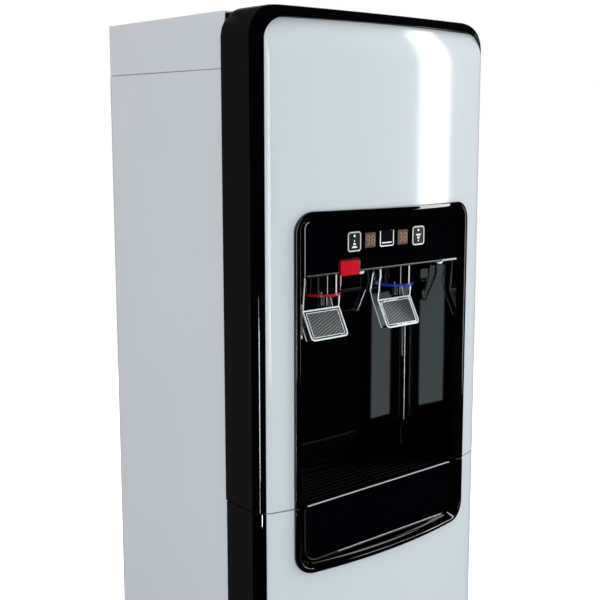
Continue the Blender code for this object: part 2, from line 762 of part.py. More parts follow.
def build_door_frame(black):
    profile = band_profile(DOOR_REAR)
    profile += [(FRAME_WALL_SHARE, DOOR_REAR - FRAME_FLANGE, 0.0),
                (DOOR_FLANGE_SHARE, DOOR_REAR - FRAME_FLANGE, 0.0), (DOOR_FLANGE_SHARE, DOOR_REAR, 0.0)]
    high = SPLIT_Z - SPLIT_HALF_GAP
    outer = arch(HALF, high, DOOR_BOTTOM, DOOR_RADIUS)
    inner = arch(HALF - FRAME_SIDE_BAND, high, DOOR_BOTTOM + FRAME_TOP_BAND, DOOR_INNER_RADIUS)
    frame = add_object("door_frame", surround(outer, inner, profile), black, HINGE)
    block_left = HINGE_X - HINGE_BLOCK_REACH
    block_right = HALF - FRAME_SIDE_BAND * FRAME_WALL_SHARE / 2
    block_front = DOOR_REAR - HINGE_BLOCK_DEPTH
    block_back = DOOR_REAR - FRAME_FLANGE / 2
    lower_block = DOOR_BOTTOM + FRAME_TOP_BAND * FRAME_WALL_SHARE / 2
    upper_block = high - HINGE_BLOCK_CLEAR
    weld(frame, block((block_left, block_right), (block_front, block_back),
                      (upper_block - HINGE_BLOCK_HEIGHT, upper_block)))
    weld(frame, block((block_left, block_right - DOOR_INNER_RADIUS), (block_front, block_back),
                      (lower_block, lower_block + HINGE_BLOCK_HEIGHT)))
    cut(frame, rod("z", (HINGE_X, HINGE_Y), HINGE_PIN_RADIUS + GAP, 0, HEIGHT))


def bowed_plate(name, material, outline, front, thickness, pivot=(0, 0, 0)):
    low = min(z for x, z in outline) - OVERRUN
    high = max(z for x, z in outline) + OVERRUN
    half = max(x for x, z in outline) + GAP
    plan = bowed_outline(half, front, front + thickness)
    plate = add_object(name, prism(plan, "z", low, high), material, pivot)
    return trim(plate, prism(outline, "y", -OVERRUN, FRAME_REAR))


def build_upper_panel(white):
    half = HALF - FRAME_SIDE_BAND - GAP
    low = SPLIT_Z + SPLIT_HALF_GAP
    high = HEIGHT - FRAME_TOP_BAND - GAP
    outline = arch(half, low, high, FRAME_INNER_RADIUS - GAP)
    panel = bowed_plate("upper_panel", white, outline, 0.0, PANEL_THICKNESS)
    opening = arch(neck_half() + NECK_GAP, low - OVERRUN, neck_top() + NECK_GAP, RIM_RADIUS / 2)
    cut(panel, prism(opening, "y", -OVERRUN, FRAME_REAR))


def neck_half():
    return RIM_HALF - (RIM_HALF - BAY_HALF) * RIM_NECK_SHARE


def neck_top():
    return HEIGHT - RIM_TOP_DROP - RIM_TOP_BAND * RIM_NECK_SHARE


def build_door_panel(white):
    half = HALF - FRAME_SIDE_BAND - GAP
    high = SPLIT_Z - SPLIT_HALF_GAP
    low = DOOR_BOTTOM + FRAME_TOP_BAND + GAP
    outline = arch(half, high, low, DOOR_INNER_RADIUS - GAP)
    panel = bowed_plate("door_panel", white, outline, 0.0, PANEL_THICKNESS, HINGE)
    notch_half = RIM_HALF - (RIM_HALF - INSET_INNER_HALF) * RIM_NECK_SHARE + NECK_GAP
    notch_low = HEIGHT - INSET_BOTTOM_DROP + INSET_BOTTOM_BAND * RIM_NECK_SHARE - NECK_GAP
    cut(panel,
        prism(arch(notch_half, high + OVERRUN, notch_low, RIM_RADIUS / 2), "y", -OVERRUN, FRAME_REAR))


def build_door_liner(white):
    half = HALF - LINER_EDGE
    high = SPLIT_Z - SPLIT_HALF_GAP
    low = DOOR_BOTTOM + FRAME_TOP_BAND + GAP
    outline = arch(half, high, low, DOOR_INNER_RADIUS - GAP)
    liner = bowed_plate("door_liner", white, outline, LINER_SETBACK, LINER_THICKNESS, HINGE)
    wall = (RIM_HALF - INSET_INNER_HALF) * INSET_WALL_SHARE
    notch_half = RIM_HALF - wall + LINER_NOTCH_GAP
    notch_low = HEIGHT - INSET_BOTTOM_DROP + INSET_BOTTOM_BAND * INSET_WALL_SHARE - LINER_NOTCH_GAP
    cut(liner,
        prism(arch(notch_half, high + OVERRUN, notch_low, LINER_NOTCH_RADIUS), "y", -OVERRUN, FRAME_REAR))


def rim_profile():
    profile = [(0.0, -GAP, 1.0)]
    profile += [(share, -RIM_PROUD * rise, 1.0) for share, rise in RIM_SHARES]
    profile.append((1.0, -GAP, 1.0))
    return profile


def build_door_inset(black):
    profile = rim_profile()
    profile += [(1.0, INSET_BACK, 0.0), (INSET_WALL_SHARE, INSET_BACK, 0.0),
                (INSET_WALL_SHARE, RIM_NECK_DEPTH, 1.0), (RIM_NECK_SHARE, RIM_NECK_DEPTH, 1.0),
                (RIM_NECK_SHARE, -GAP, 1.0)]
    high = SPLIT_Z - SPLIT_HALF_GAP
    low = HEIGHT - INSET_BOTTOM_DROP
    outer = arch(RIM_HALF, high, low, RIM_RADIUS)
    inner = arch(INSET_INNER_HALF, high, low + INSET_BOTTOM_BAND, INSET_INNER_RADIUS)
    add_object("door_inset", surround(outer, inner, profile), black, HINGE)


# Dispensing bay

def build_bay(black):
    low = SPLIT_Z + SPLIT_HALF_GAP
    outer_half = BAY_HALF + BAY_WALL
    back = BAY_BACK + BAY_WALL
    top = RIM_INNER_TOP + BAY_WALL
    plan = bowed_outline(outer_half, -RIM_PROUD / 3, back, flat_back=True)
    bay = add_object("dispensing_bay", prism(plan, "z", low, top), black)
    ceiling = FASCIA_BOTTOM + BAY_CEILING
    hollows = block((-BAY_HALF, BAY_HALF), (-OVERRUN, BAY_BACK), (low - OVERRUN, FASCIA_BOTTOM))
    block((-BAY_HALF, BAY_HALF), (-OVERRUN, BAY_BACK), (ceiling, RIM_INNER_TOP), hollows)
    cut(bay, hollows)
    openings = block((-BAY_HALF, BAY_HALF), (-OVERRUN, BAY_CEILING_FRONT),
                     (FASCIA_BOTTOM - OVERRUN, ceiling + BAY_CEILING))
    drill = (FASCIA_BOTTOM - BAY_CEILING, ceiling + BAY_CEILING)
    for x in (-TAP_X, TAP_X):
        rod("z", (x, TAP_Y), TAP_RADIUS + TAP_HOLE_GAP, *drill, sides=24, shape=openings)
        for side in (-1, 1):
            slot = sorted((x + side * (LEVER_HALF - LEVER_PLATE - LEVER_SLOT_GAP),
                           x + side * (LEVER_HALF + LEVER_SLOT_GAP)))
            block(slot, (LEVER_SLOT_FRONT, LEVER_SLOT_BACK), drill, openings)
        rod("y", (x, STEM_Z), STEM_RADIUS + STEM_HOLE_GAP, BAY_BACK - BAY_WALL, back + OVERRUN,
            shape=openings)
    cut(bay, openings)
    profile = rim_profile()
    profile += [(1.0, RIM_NECK_DEPTH, 1.0), (RIM_NECK_SHARE, RIM_NECK_DEPTH, 1.0),
                (RIM_NECK_SHARE, -GAP, 1.0)]
    outer = arch(RIM_HALF, low, HEIGHT - RIM_TOP_DROP, RIM_RADIUS)
    inner = arch(BAY_HALF, low, RIM_INNER_TOP, RIM_INNER_RADIUS)
    weld(bay, surround(outer, inner, profile))
    weld(bay,
         block((-outer_half, outer_half), (WELL_FRONT, back),
               (WELL_FLOOR_TOP - WELL_FLOOR, low + WELL_LEDGE)))
    cut(bay, block((-WELL_HALF, WELL_HALF), (-OVERRUN, WELL_BACK), (WELL_FLOOR_TOP, low + OVERRUN)))


# Fascia, keys, windows and child latch

def key_places():
    return (("button_hot", -KEY_X), ("button_cold", KEY_X))


def build_fascia(gloss, amber, smoke, key_material, board_material):
    half = BAY_HALF - FASCIA_EDGE_GAP
    top = RIM_INNER_TOP - FASCIA_EDGE_GAP
    back = FASCIA_FRONT + FASCIA_THICKNESS
    outline = rounded_rect(-half, half, FASCIA_BOTTOM, top, FASCIA_LIP_HEIGHT, FASCIA_RADIUS)
    fascia = add_object("fascia", prism(outline, "y", FASCIA_FRONT, back), gloss)
    into = back - FASCIA_THICKNESS / 2
    extras = block((-half + FASCIA_RADIUS, half - FASCIA_RADIUS), (into, back + FASCIA_LIP),
                   (FASCIA_BOTTOM + GAP, FASCIA_BOTTOM + FASCIA_LIP_HEIGHT))
    for x in (-BOARD_POST_X, BOARD_POST_X):
        for z in (PANEL_ROW_Z - BOARD_POST_Z, PANEL_ROW_Z + BOARD_POST_Z):
            rod("y", (x, z), BOARD_POST_RADIUS, into, BOARD_FRONT - GAP, sides=12, shape=extras)
    latch_half = LATCH_WIDTH / 2 + GAP
    for side in (-1, 1):
        ear = sorted((LATCH_X + side * latch_half, LATCH_X + side * (latch_half + LATCH_EAR)))
        block(ear, (into, LATCH_EAR_BACK), (LATCH_PIVOT_Z - LATCH_EAR_HALF, LATCH_PIVOT_Z + LATCH_EAR_HALF),
              extras)
    weld(fascia, extras)
    openings = bmesh.new()
    through = (FASCIA_FRONT - OVERRUN, back + GAP)
    for name, x in key_places():
        prism(key_outline(x, GAP), "y", *through, shape=openings)
    for x in (-DISPLAY_X, DISPLAY_X):
        block((x - DISPLAY_WIDTH / 2 - GAP, x + DISPLAY_WIDTH / 2 + GAP), through,
              (PANEL_ROW_Z - DISPLAY_HEIGHT / 2 - GAP, PANEL_ROW_Z + DISPLAY_HEIGHT / 2 + GAP), openings)
    block((-INDICATOR_WIDTH / 2 - GAP, INDICATOR_WIDTH / 2 + GAP), through,
          (PANEL_ROW_Z - INDICATOR_HEIGHT / 2 - GAP, PANEL_ROW_Z + INDICATOR_HEIGHT / 2 + GAP), openings)
    block((LATCH_X - latch_half, LATCH_X + latch_half), (FASCIA_FRONT - OVERRUN, back + FASCIA_LIP + GAP),
          (FASCIA_BOTTOM - OVERRUN, HEIGHT - LATCH_TOP_DROP + GAP), openings)
    cut(fascia, openings)
    cut(fascia, rod("x", (LATCH_PIVOT_Y, LATCH_PIVOT_Z), LATCH_PIN_RADIUS + GAP, LATCH_X - LATCH_WIDTH,
                    LATCH_X + LATCH_WIDTH, sides=10))
    window_back = BOARD_FRONT - GAP
    for name, x in (("hot_display", -DISPLAY_X), ("cold_display", DISPLAY_X)):
        window = block((x - DISPLAY_WIDTH / 2, x + DISPLAY_WIDTH / 2),
                       (FASCIA_FRONT - WINDOW_PROUD, window_back),
                       (PANEL_ROW_Z - DISPLAY_HEIGHT / 2, PANEL_ROW_Z + DISPLAY_HEIGHT / 2))
        add_object(name, window, amber)
    indicator = block((-INDICATOR_WIDTH / 2, INDICATOR_WIDTH / 2),
                      (FASCIA_FRONT - WINDOW_PROUD, window_back),
                      (PANEL_ROW_Z - INDICATOR_HEIGHT / 2, PANEL_ROW_Z + INDICATOR_HEIGHT / 2))
    add_object("water_indicator", indicator, smoke)
    board = block((-BOARD_HALF_WIDTH, BOARD_HALF_WIDTH), (BOARD_FRONT, BOARD_FRONT + BOARD_THICKNESS),
                  (PANEL_ROW_Z - BOARD_HALF_HEIGHT, PANEL_ROW_Z + BOARD_HALF_HEIGHT))
    add_object("control_board", board, board_material)
    for name, x in key_places():
        front = FASCIA_FRONT - KEY_PROUD
        key = add_object(name, prism(key_outline(x, 0.0), "y", front, front + KEY_BODY), key_material,
                         (x, front, PANEL_ROW_Z))
        stem_start = front + KEY_BODY / 2
        weld(key,
             rod("y", (x, PANEL_ROW_Z), KEY_STEM_RADIUS, stem_start, front + KEY_BODY + KEY_STEM, sides=12))


def key_outline(x, grow):
    half_width = KEY_WIDTH / 2 + grow
    half_height = KEY_HEIGHT / 2 + grow
    return rounded_rect(x - half_width, x + half_width, PANEL_ROW_Z - half_height,
                        PANEL_ROW_Z + half_height, KEY_RADIUS + grow)


def build_latch(red):
    pivot = (LATCH_X, LATCH_PIVOT_Y, LATCH_PIVOT_Z)
    left = LATCH_X - LATCH_WIDTH / 2
    right = LATCH_X + LATCH_WIDTH / 2
    tab = rounded_rect(left, right, HEIGHT - LATCH_BOTTOM_DROP, HEIGHT - LATCH_TOP_DROP, LATCH_RADIUS)
    latch = add_object("safety_latch", prism(tab, "y", LATCH_FRONT, LATCH_FRONT + LATCH_THICKNESS), red,
                       pivot)
    into = LATCH_FRONT + LATCH_THICKNESS / 2
    weld(latch, block((left + GAP, right - GAP), (into, LATCH_PIVOT_Y),
                      (LATCH_PIVOT_Z - LATCH_ARM_HALF, LATCH_PIVOT_Z + LATCH_ARM_HALF)))
    weld(latch,
         rod("x", (LATCH_PIVOT_Y, LATCH_PIVOT_Z), LATCH_BARREL_RADIUS, left + 2 * GAP, right - 2 * GAP))
    weld(latch,
         rod("x", (LATCH_PIVOT_Y, LATCH_PIVOT_Z), LATCH_PIN_RADIUS, left - LATCH_EAR, right + LATCH_EAR,
             sides=10))


# Taps

def build_tap(name, x, plastic):
    top = HEIGHT - TAP_TOP_DROP
    tip = TAP_BOTTOM - NOZZLE_LENGTH
    profile = ((0, top), (TAP_RADIUS - TAP_TOP_ROUND, top), (TAP_RADIUS, top - TAP_TOP_ROUND),
               (TAP_RADIUS, TAP_BOTTOM), (NOZZLE_RADIUS, TAP_BOTTOM), (NOZZLE_RADIUS, tip),
               (NOZZLE_BORE_RADIUS, tip), (NOZZLE_BORE_RADIUS, tip + NOZZLE_BORE_DEPTH),
               (0, tip + NOZZLE_BORE_DEPTH))
    tap = add_object(name, turned(profile, (x, TAP_Y), sides=28), plastic)
    weld(tap, rod("y", (x, STEM_Z), STEM_RADIUS, TAP_Y + STEM_START, STEM_END))
    reach = LEVER_HALF + LEVER_PIN_OVERHANG
    weld(tap, rod("x", (LEVER_PIVOT_Y, LEVER_PIVOT_Z), LEVER_PIN_RADIUS, x - reach, x + reach, sides=10))


def build_ring(name, x, material):
    inner = TAP_RADIUS + GAP
    outer = TAP_RADIUS + RING_PROUD
    profile = ((outer, TAP_BOTTOM + RING_HEIGHT), (outer, TAP_BOTTOM), (inner, TAP_BOTTOM),
               (inner, TAP_BOTTOM + RING_HEIGHT))
    add_object(name, turned(profile, (x, TAP_Y), sides=28, closed=True), material)


def build_lever(name, x, clear):
    """Two side plates on the pivot pin, joined by a slanting paddle below the nozzle."""
    outline = [(LEVER_PIVOT_Y + u * LEVER_DEPTH, LEVER_PIVOT_Z + v * LEVER_LENGTH)
               for u, v in LEVER_SIDE_SHARES]
    outline += arc((LEVER_PIVOT_Y, LEVER_PIVOT_Z), LEVER_EYE_RADIUS, 180, 0)
    pivot = (x, LEVER_PIVOT_Y, LEVER_PIVOT_Z)
    lever = add_object(name, prism(outline, "x", x - LEVER_HALF, x + LEVER_HALF), clear, pivot)
    paddle_foot = Vector(outline[4])
    paddle_top = Vector(outline[5])
    rear = (paddle_foot - paddle_top).normalized()
    rear = Vector((-rear.y, rear.x)) * LEVER_PADDLE
    top = paddle_top + rear
    foot = paddle_foot + rear + (paddle_foot - paddle_top)
    far = LEVER_PIVOT_Y + LEVER_LENGTH
    inside = [(LEVER_PIVOT_Y - LEVER_LENGTH, LEVER_PIVOT_Z + LEVER_LENGTH),
              (far, LEVER_PIVOT_Z + LEVER_LENGTH), (far, foot.y), tuple(foot), tuple(top),
              (LEVER_PIVOT_Y - LEVER_LENGTH, paddle_top.y)]
    cut(lever, prism(inside, "x", x - LEVER_HALF + LEVER_PLATE, x + LEVER_HALF - LEVER_PLATE))
    cut(lever, rod("x", (LEVER_PIVOT_Y, LEVER_PIVOT_Z), LEVER_PIN_RADIUS + GAP, x - LEVER_HALF - OVERRUN,
                   x + LEVER_HALF + OVERRUN, sides=10))


def build_lever_spring(name, x, steel):
    """A wound return spring round the outer trunnion, drawn as a sleeve."""
    side = math.copysign(1, x)
    ends = sorted((x + side * (TAP_RADIUS + GAP), x + side * (LEVER_HALF - LEVER_PLATE - GAP)))
    add_object(name,
               sleeve("x", (LEVER_PIVOT_Y, LEVER_PIVOT_Z), SPRING_RADIUS, LEVER_PIN_RADIUS + GAP, *ends,
                      sides=12), steel)


# Drip tray

def build_tray(gloss, dark):
    bottom = HEIGHT - TRAY_FRONT_BOTTOM_DROP
    top = HEIGHT - TRAY_FRONT_TOP_DROP
    rim = HEIGHT - TRAY_RIM_DROP
    back_of_plate = TRAY_FRONT + TRAY_PLATE
    plate = rounded_rect(-TRAY_FRONT_HALF, TRAY_FRONT_HALF, bottom, top, TRAY_FRONT_RADIUS,
                         TRAY_FRONT_TOP_RADIUS)
    tray = add_object("drip_tray", prism(plate, "y", TRAY_FRONT, back_of_plate), gloss)
    floor = WELL_FLOOR_TOP + GAP
    weld(tray, block((-TRAY_HALF, TRAY_HALF), (TRAY_FRONT + TRAY_PLATE / 2, TRAY_BACK), (floor, rim)))
    inner = TRAY_HALF - TRAY_WALL
    cut(tray, block((-inner, inner), (back_of_plate + GAP, TRAY_BACK - TRAY_WALL),
                    (floor + TRAY_WALL, rim + OVERRUN)))
    low = rim + GAP
    high = low + GRILLE_THICKNESS
    front = back_of_plate + GAP
    grille = add_object("drip_grille", block((-TRAY_HALF, TRAY_HALF), (front, TRAY_BACK), (low, high)), dark)
    slots = bmesh.new()
    span = TRAY_BACK - front - 2 * GRILLE_EDGE
    count = int((span + GRILLE_BAR) / (GRILLE_SLOT + GRILLE_BAR))
    pitch = (span - GRILLE_SLOT) / (count - 1)
    reach = TRAY_HALF - GRILLE_EDGE
    for index in range(count):
        y = front + GRILLE_EDGE + pitch * index
        for left, right in ((-reach, -GRILLE_BAR / 2), (GRILLE_BAR / 2, reach)):
            block((left, right), (y, y + GRILLE_SLOT), (low - OVERRUN, high + OVERRUN), slots)
    cut(grille, slots)


# Door hinge and catch

def build_hinge(steel, dark):
    lower = BASE_TOP + GAP
    upper = SPLIT_Z + SPLIT_HALF_GAP - GAP
    centre = (HINGE_X, HINGE_Y)
    add_object("lower_hinge_pin", rod("z", centre, HINGE_PIN_RADIUS, lower, lower + HINGE_PIN_LENGTH),
               steel)
    add_object("upper_hinge_pin", rod("z", centre, HINGE_PIN_RADIUS, upper - HINGE_PIN_LENGTH, upper),
               steel)
    under = SPLIT_Z + SPLIT_HALF_GAP
    over = under + HINGE_BRACKET_THICKNESS
    neck = BODY_FRONT - HINGE_BRACKET_NECK_GAP
    bracket = add_object("hinge_bracket",
                         block((HINGE_X - HINGE_BRACKET_REACH, HINGE_X + HINGE_BRACKET_EDGE),
                               (HINGE_Y - HINGE_BRACKET_NOSE, neck), (under, over)), steel)
    outer = BODY_HALF - HINGE_BRACKET_INSET
    inner = outer - HINGE_BRACKET_WIDTH
    foot_front = BAY_BACK + BAY_WALL + 2 * GAP
    back = foot_front + HINGE_BRACKET_FOOT - 2 * GAP
    weld(bracket,
         block((inner, outer), (neck - HINGE_BRACKET_THICKNESS, back), (under + GAP / 3, over - GAP / 3)))
    weld(bracket, block((inner + GAP, outer - GAP), (foot_front, back - GAP),
                        (CEILING_TOP + GAP, over - HINGE_BRACKET_THICKNESS / 2)))
    magnet_left = -BODY_HALF + GAP
    magnet_z = SPLIT_Z * MAGNET_HEIGHT_SHARE
    magnet = block((magnet_left, magnet_left + MAGNET_WIDTH), (DOOR_REAR + GAP, BODY_FRONT - GAP),
                   (magnet_z - MAGNET_HEIGHT / 2, magnet_z + MAGNET_HEIGHT / 2))
    add_object("catch_magnet", magnet, dark)


# Shelves inside the cabinet

def build_shelf(name, steel, z, front, back):
    outer = BODY_HALF - SHEET - GAP
    outline = [(-outer, z - SHEET_FLANGE), (-outer + TRAY_SHEET, z - SHEET_FLANGE),
               (-outer + TRAY_SHEET, z), (outer - TRAY_SHEET, z), (outer - TRAY_SHEET, z - SHEET_FLANGE),
               (outer, z - SHEET_FLANGE), (outer, z + TRAY_SHEET), (-outer, z + TRAY_SHEET)]
    return add_object(name, prism(outline, "y", front, back), steel)


def build_shelves(steel):
    ceiling = build_shelf("compartment_ceiling", steel, CEILING_Z, BAY_BACK + BAY_WALL + GAP, SHELF_BACK)
    cut(ceiling,
        rod("z", (PROBE_X, PROBE_Y), SUCTION_RADIUS + HOLE_GAP, CEILING_Z - OVERRUN, CEILING_TOP + OVERRUN))
    build_shelf("tank_shelf", steel, TANK_SHELF_Z, BAY_BACK + BAY_WALL + TANK_SHELF_CLEAR, SHELF_BACK)


# Cooling unit

def scaled(shares, radius, low, height):
    return [(radius * across, low + height * up) for across, up in shares]


def build_compressor(black, steel):
    plate_low = CEILING_TOP + GAP + MOUNT_HEIGHT
    low = plate_low + COMPRESSOR_PLATE + GAP
    centre = (COMPRESSOR_X, COMPRESSOR_Y)
    compressor = add_object("compressor",
                            turned(scaled(COMPRESSOR_SHARES, COMPRESSOR_RADIUS, low, COMPRESSOR_HEIGHT),
                                   centre), black)
    half = COMPRESSOR_PLATE_HALF
    bracket = add_object("compressor_bracket", block((COMPRESSOR_X - half, COMPRESSOR_X + half),
                                                     (COMPRESSOR_Y - half, COMPRESSOR_Y + half),
                                                     (plate_low, plate_low + COMPRESSOR_PLATE)), steel)
    terminal_z = low + COMPRESSOR_HEIGHT * TERMINAL_Z_SHARE
    side = COMPRESSOR_X + COMPRESSOR_RADIUS
    weld(compressor, block((side - TERMINAL_DEPTH, side + TERMINAL_DEPTH),
                           (COMPRESSOR_Y - TERMINAL_BOX / 2, COMPRESSOR_Y + TERMINAL_BOX / 2),
                           (terminal_z, terminal_z + TERMINAL_BOX)))
    mounts = bmesh.new()
    for x in (COMPRESSOR_X - half + MOUNT_INSET, COMPRESSOR_X + half - MOUNT_INSET):
        for y in (COMPRESSOR_Y - half + MOUNT_INSET, COMPRESSOR_Y + half - MOUNT_INSET):
            rod("z", (x, y), MOUNT_RADIUS, CEILING_TOP + GAP, plate_low + COMPRESSOR_PLATE / 2, sides=12,
                shape=mounts)
    weld(bracket, mounts)


def condenser_row(index):
    return HEIGHT - CONDENSER_DROP + CONDENSER_PITCH * index


def condenser_stub_places():
    last_side = 1 if CONDENSER_RUNS % 2 else -1
    return ((-CONDENSER_HALF, condenser_row(0)),
            (last_side * CONDENSER_HALF, condenser_row(CONDENSER_RUNS - 1)))


def build_condenser(black):
    """A serpentine tube behind the cabinet with thin wires and four mounting lugs welded to it."""
    start_x, start_z = condenser_stub_places()[0]
    end_x, end_z = condenser_stub_places()[1]
    inner_end = REAR_FACE - CONDENSER_STUB
    corner = CONDENSER_PITCH / 4
    points = [(start_x, inner_end, start_z), (start_x, CONDENSER_Y - corner, start_z),
              (start_x + corner, CONDENSER_Y, start_z)]
    bend = CONDENSER_PITCH / 2
    for index in range(CONDENSER_RUNS - 1):
        side = 1 if index % 2 == 0 else -1
        for step in range(CONDENSER_BEND_STEPS + 1):
            angle = math.pi * step / CONDENSER_BEND_STEPS - math.pi / 2
            points.append((side * (CONDENSER_HALF - bend + bend * math.cos(angle)), CONDENSER_Y,
                           condenser_row(index) + bend + bend * math.sin(angle)))
    points += [(end_x - math.copysign(corner, end_x), CONDENSER_Y, end_z),
               (end_x, CONDENSER_Y - corner, end_z), (end_x, inner_end, end_z)]
    condenser = add_object("condenser", pipe(points, CONDENSER_TUBE_RADIUS, sides=6), black)
    wires = bmesh.new()
    low = condenser_row(0) - CONDENSER_WIRE_OVERHANG
    high = condenser_row(CONDENSER_RUNS - 1) + CONDENSER_WIRE_OVERHANG
    span = CONDENSER_HALF - bend
    for index in range(CONDENSER_WIRES):
        x = -span + 2 * span * index / (CONDENSER_WIRES - 1)
        block((x - CONDENSER_WIRE / 2, x + CONDENSER_WIRE / 2), (REAR_REACH - CONDENSER_WIRE, REAR_REACH),
              (low, high), wires)
    weld(condenser, wires)
    lugs = bmesh.new()
    lug_x = span * (1 - 1 / (CONDENSER_WIRES - 1))
    for x in (-lug_x, lug_x):
        for index in (1, CONDENSER_RUNS - 2):
            rod("y", (x, condenser_row(index)), LUG_RADIUS, REAR_FACE + GAP, CONDENSER_Y, sides=12,
                shape=lugs)
    weld(condenser, lugs)


# Tanks, heater and water lines

def build_tanks(steel, foam, copper, white, ceramic):
    centre = (COLD_TANK_X, TANK_Y)
    foam_top = TANK_SEAT + FOAM_HEIGHT
    foam_floor = TANK_SEAT + FOAM_FLOOR
    cavity = FOAM_RADIUS - FOAM_WALL
    profile = ((0, TANK_SEAT), (FOAM_RADIUS, TANK_SEAT), (FOAM_RADIUS, foam_top), (cavity, foam_top),
               (cavity, foam_floor), (0, foam_floor))
    add_object("cold_tank_insulation", turned(profile, centre), foam)
    tank_low = foam_floor + GAP
    tank = turned(((0, tank_low), (COLD_TANK_RADIUS, tank_low),
                   (COLD_TANK_RADIUS, tank_low + COLD_TANK_HEIGHT), (0, tank_low + COLD_TANK_HEIGHT)),
                  centre)
    add_object("cold_tank", tank, steel)
    coil_low = tank_low + EVAPORATOR_START
    add_object("evaporator",
               sleeve("z", centre, COLD_TANK_RADIUS + GAP + EVAPORATOR_WALL, COLD_TANK_RADIUS + GAP,
                      coil_low, coil_low + EVAPORATOR_HEIGHT, sides=24), copper)
    lid_low = foam_top + GAP
    lid = add_object("cold_tank_lid",
                     rod("z", centre, FOAM_RADIUS, lid_low, lid_low + LID_HEIGHT, sides=24), white)
    weld(lid, rod("z", (LID_PORT_X, LID_PORT_Y), LID_PORT_RADIUS, lid_low + LID_HEIGHT / 2,
                  lid_low + LID_HEIGHT + LID_PORT_HEIGHT, sides=12))
    hot_centre = (HOT_TANK_X, TANK_Y)
    add_object("hot_tank",
               turned(scaled(HOT_TANK_SHARES, HOT_TANK_RADIUS, TANK_SEAT, HOT_TANK_HEIGHT), hot_centre),
               steel)
    band_low = TANK_SEAT + HEATER_START
    add_object("heater_band",
               sleeve("z", hot_centre, HOT_TANK_RADIUS + GAP + HEATER_WALL, HOT_TANK_RADIUS + GAP, band_low,
                      band_low + HEATER_HEIGHT, sides=24), ceramic)


def tank_front(tank_x, radius, hose_x):
    """Front surface of an upright cylinder at the hose's place."""
    return TANK_Y - math.sqrt(radius ** 2 - (hose_x - tank_x) ** 2)


def build_hoses(silicone):
    start = STEM_END + GAP
    for name, x, tank_x, radius in (("hot_hose", -TAP_X, HOT_TANK_X, HOT_TANK_RADIUS),
                                    ("cold_hose", TAP_X, COLD_TANK_X, FOAM_RADIUS)):
        outer_x = x - math.copysign(HOSE_RADIUS, tank_x - x)
        inner_x = x + math.copysign(HOSE_RADIUS, tank_x - x)
        end = min(tank_front(tank_x, radius, outer_x), tank_front(tank_x, radius, inner_x)) - HOT_HOSE_SEAT
        add_object(name, sleeve("y", (x, STEM_Z), HOSE_RADIUS, HOSE_BORE_RADIUS, start, end, sides=12),
                   silicone)
    port_top = TANK_SEAT + FOAM_HEIGHT + GAP + LID_HEIGHT + LID_PORT_HEIGHT + GAP
    pump_port_z = PUMP_BOTTOM + PUMP_FOOT + PUMP_HEIGHT * PUMP_PORT_SHARE
    outlet = PROBE_Y - PUMP_RADIUS - PUMP_PORT_LENGTH - GAP
    corners = [(PROBE_X, outlet, pump_port_z), (PROBE_X, SUPPLY_RISER_Y + OVERRUN, pump_port_z),
               (SUPPLY_RISER_X, SUPPLY_RISER_Y, pump_port_z + OVERRUN),
               (SUPPLY_RISER_X, SUPPLY_RISER_Y, port_top),
               (LID_PORT_X, LID_PORT_Y, port_top + SUPPLY_TOP_RISE), (LID_PORT_X, LID_PORT_Y, port_top)]
    tube("supply_hose", hose_points(corners, SUPPLY_ROUND_SHARE, CORNER_STEPS), SUPPLY_RADIUS, silicone)


def build_pump(dark, silicone, white):
    foot = block((PROBE_X - PUMP_FOOT_HALF, PROBE_X + PUMP_FOOT_HALF),
                 (PROBE_Y - PUMP_FOOT_HALF, PROBE_Y + PUMP_FOOT_HALF),
                 (PUMP_BOTTOM, PUMP_BOTTOM + PUMP_FOOT))
    pump = add_object("pump", foot, dark)
    weld(pump,
         rod("z", (PROBE_X, PROBE_Y), PUMP_RADIUS, PUMP_BOTTOM + PUMP_FOOT / 2,
             PUMP_BOTTOM + PUMP_FOOT + PUMP_HEIGHT, sides=20))
    port_z = PUMP_BOTTOM + PUMP_FOOT + PUMP_HEIGHT * PUMP_PORT_SHARE
    weld(pump,
         rod("y", (PROBE_X, port_z), SUPPLY_RADIUS, PROBE_Y - PUMP_RADIUS - PUMP_PORT_LENGTH, PROBE_Y,
             sides=12))
    hose_top = PUMP_BOTTOM - GAP + PUMP_FOOT / 2
    cut(pump,
        rod("z", (PROBE_X, PROBE_Y), SUCTION_RADIUS + HOLE_GAP, PUMP_BOTTOM - OVERRUN, hose_top + GAP,
            sides=12))
    add_object("suction_hose",
               sleeve("z", (PROBE_X, PROBE_Y), SUCTION_RADIUS, SUCTION_BORE_RADIUS, PROBE_CAP_TOP + GAP,
                      hose_top, sides=12), silicone, (PROBE_X, PROBE_Y, hose_top))
    cap_low = PROBE_CAP_TOP - PROBE_CAP_HEIGHT
    end = BASE_TOP + GAP
    foot_top = end + PROBE_FOOT_HEIGHT
    profile = ((0, PROBE_CAP_TOP), (PROBE_CAP_RADIUS, PROBE_CAP_TOP), (PROBE_CAP_RADIUS, cap_low),
               (PROBE_TUBE_RADIUS, cap_low), (PROBE_TUBE_RADIUS, foot_top), (PROBE_FOOT_RADIUS, foot_top),
               (PROBE_FOOT_RADIUS, end), (PROBE_BORE_RADIUS, end), (PROBE_BORE_RADIUS, cap_low),
               (0, cap_low))
    add_object("suction_probe", turned(profile, (PROBE_X, PROBE_Y), sides=20), white,
               (PROBE_X, PROBE_Y, end))


# Rear fittings

def switch_places():
    return (SWITCH_X, SWITCH_X + SWITCH_PITCH)


def housing_sides(grow):
    return switch_places()[0] - SWITCH_HALF_WIDTH - grow, switch_places()[1] + SWITCH_HALF_WIDTH + grow


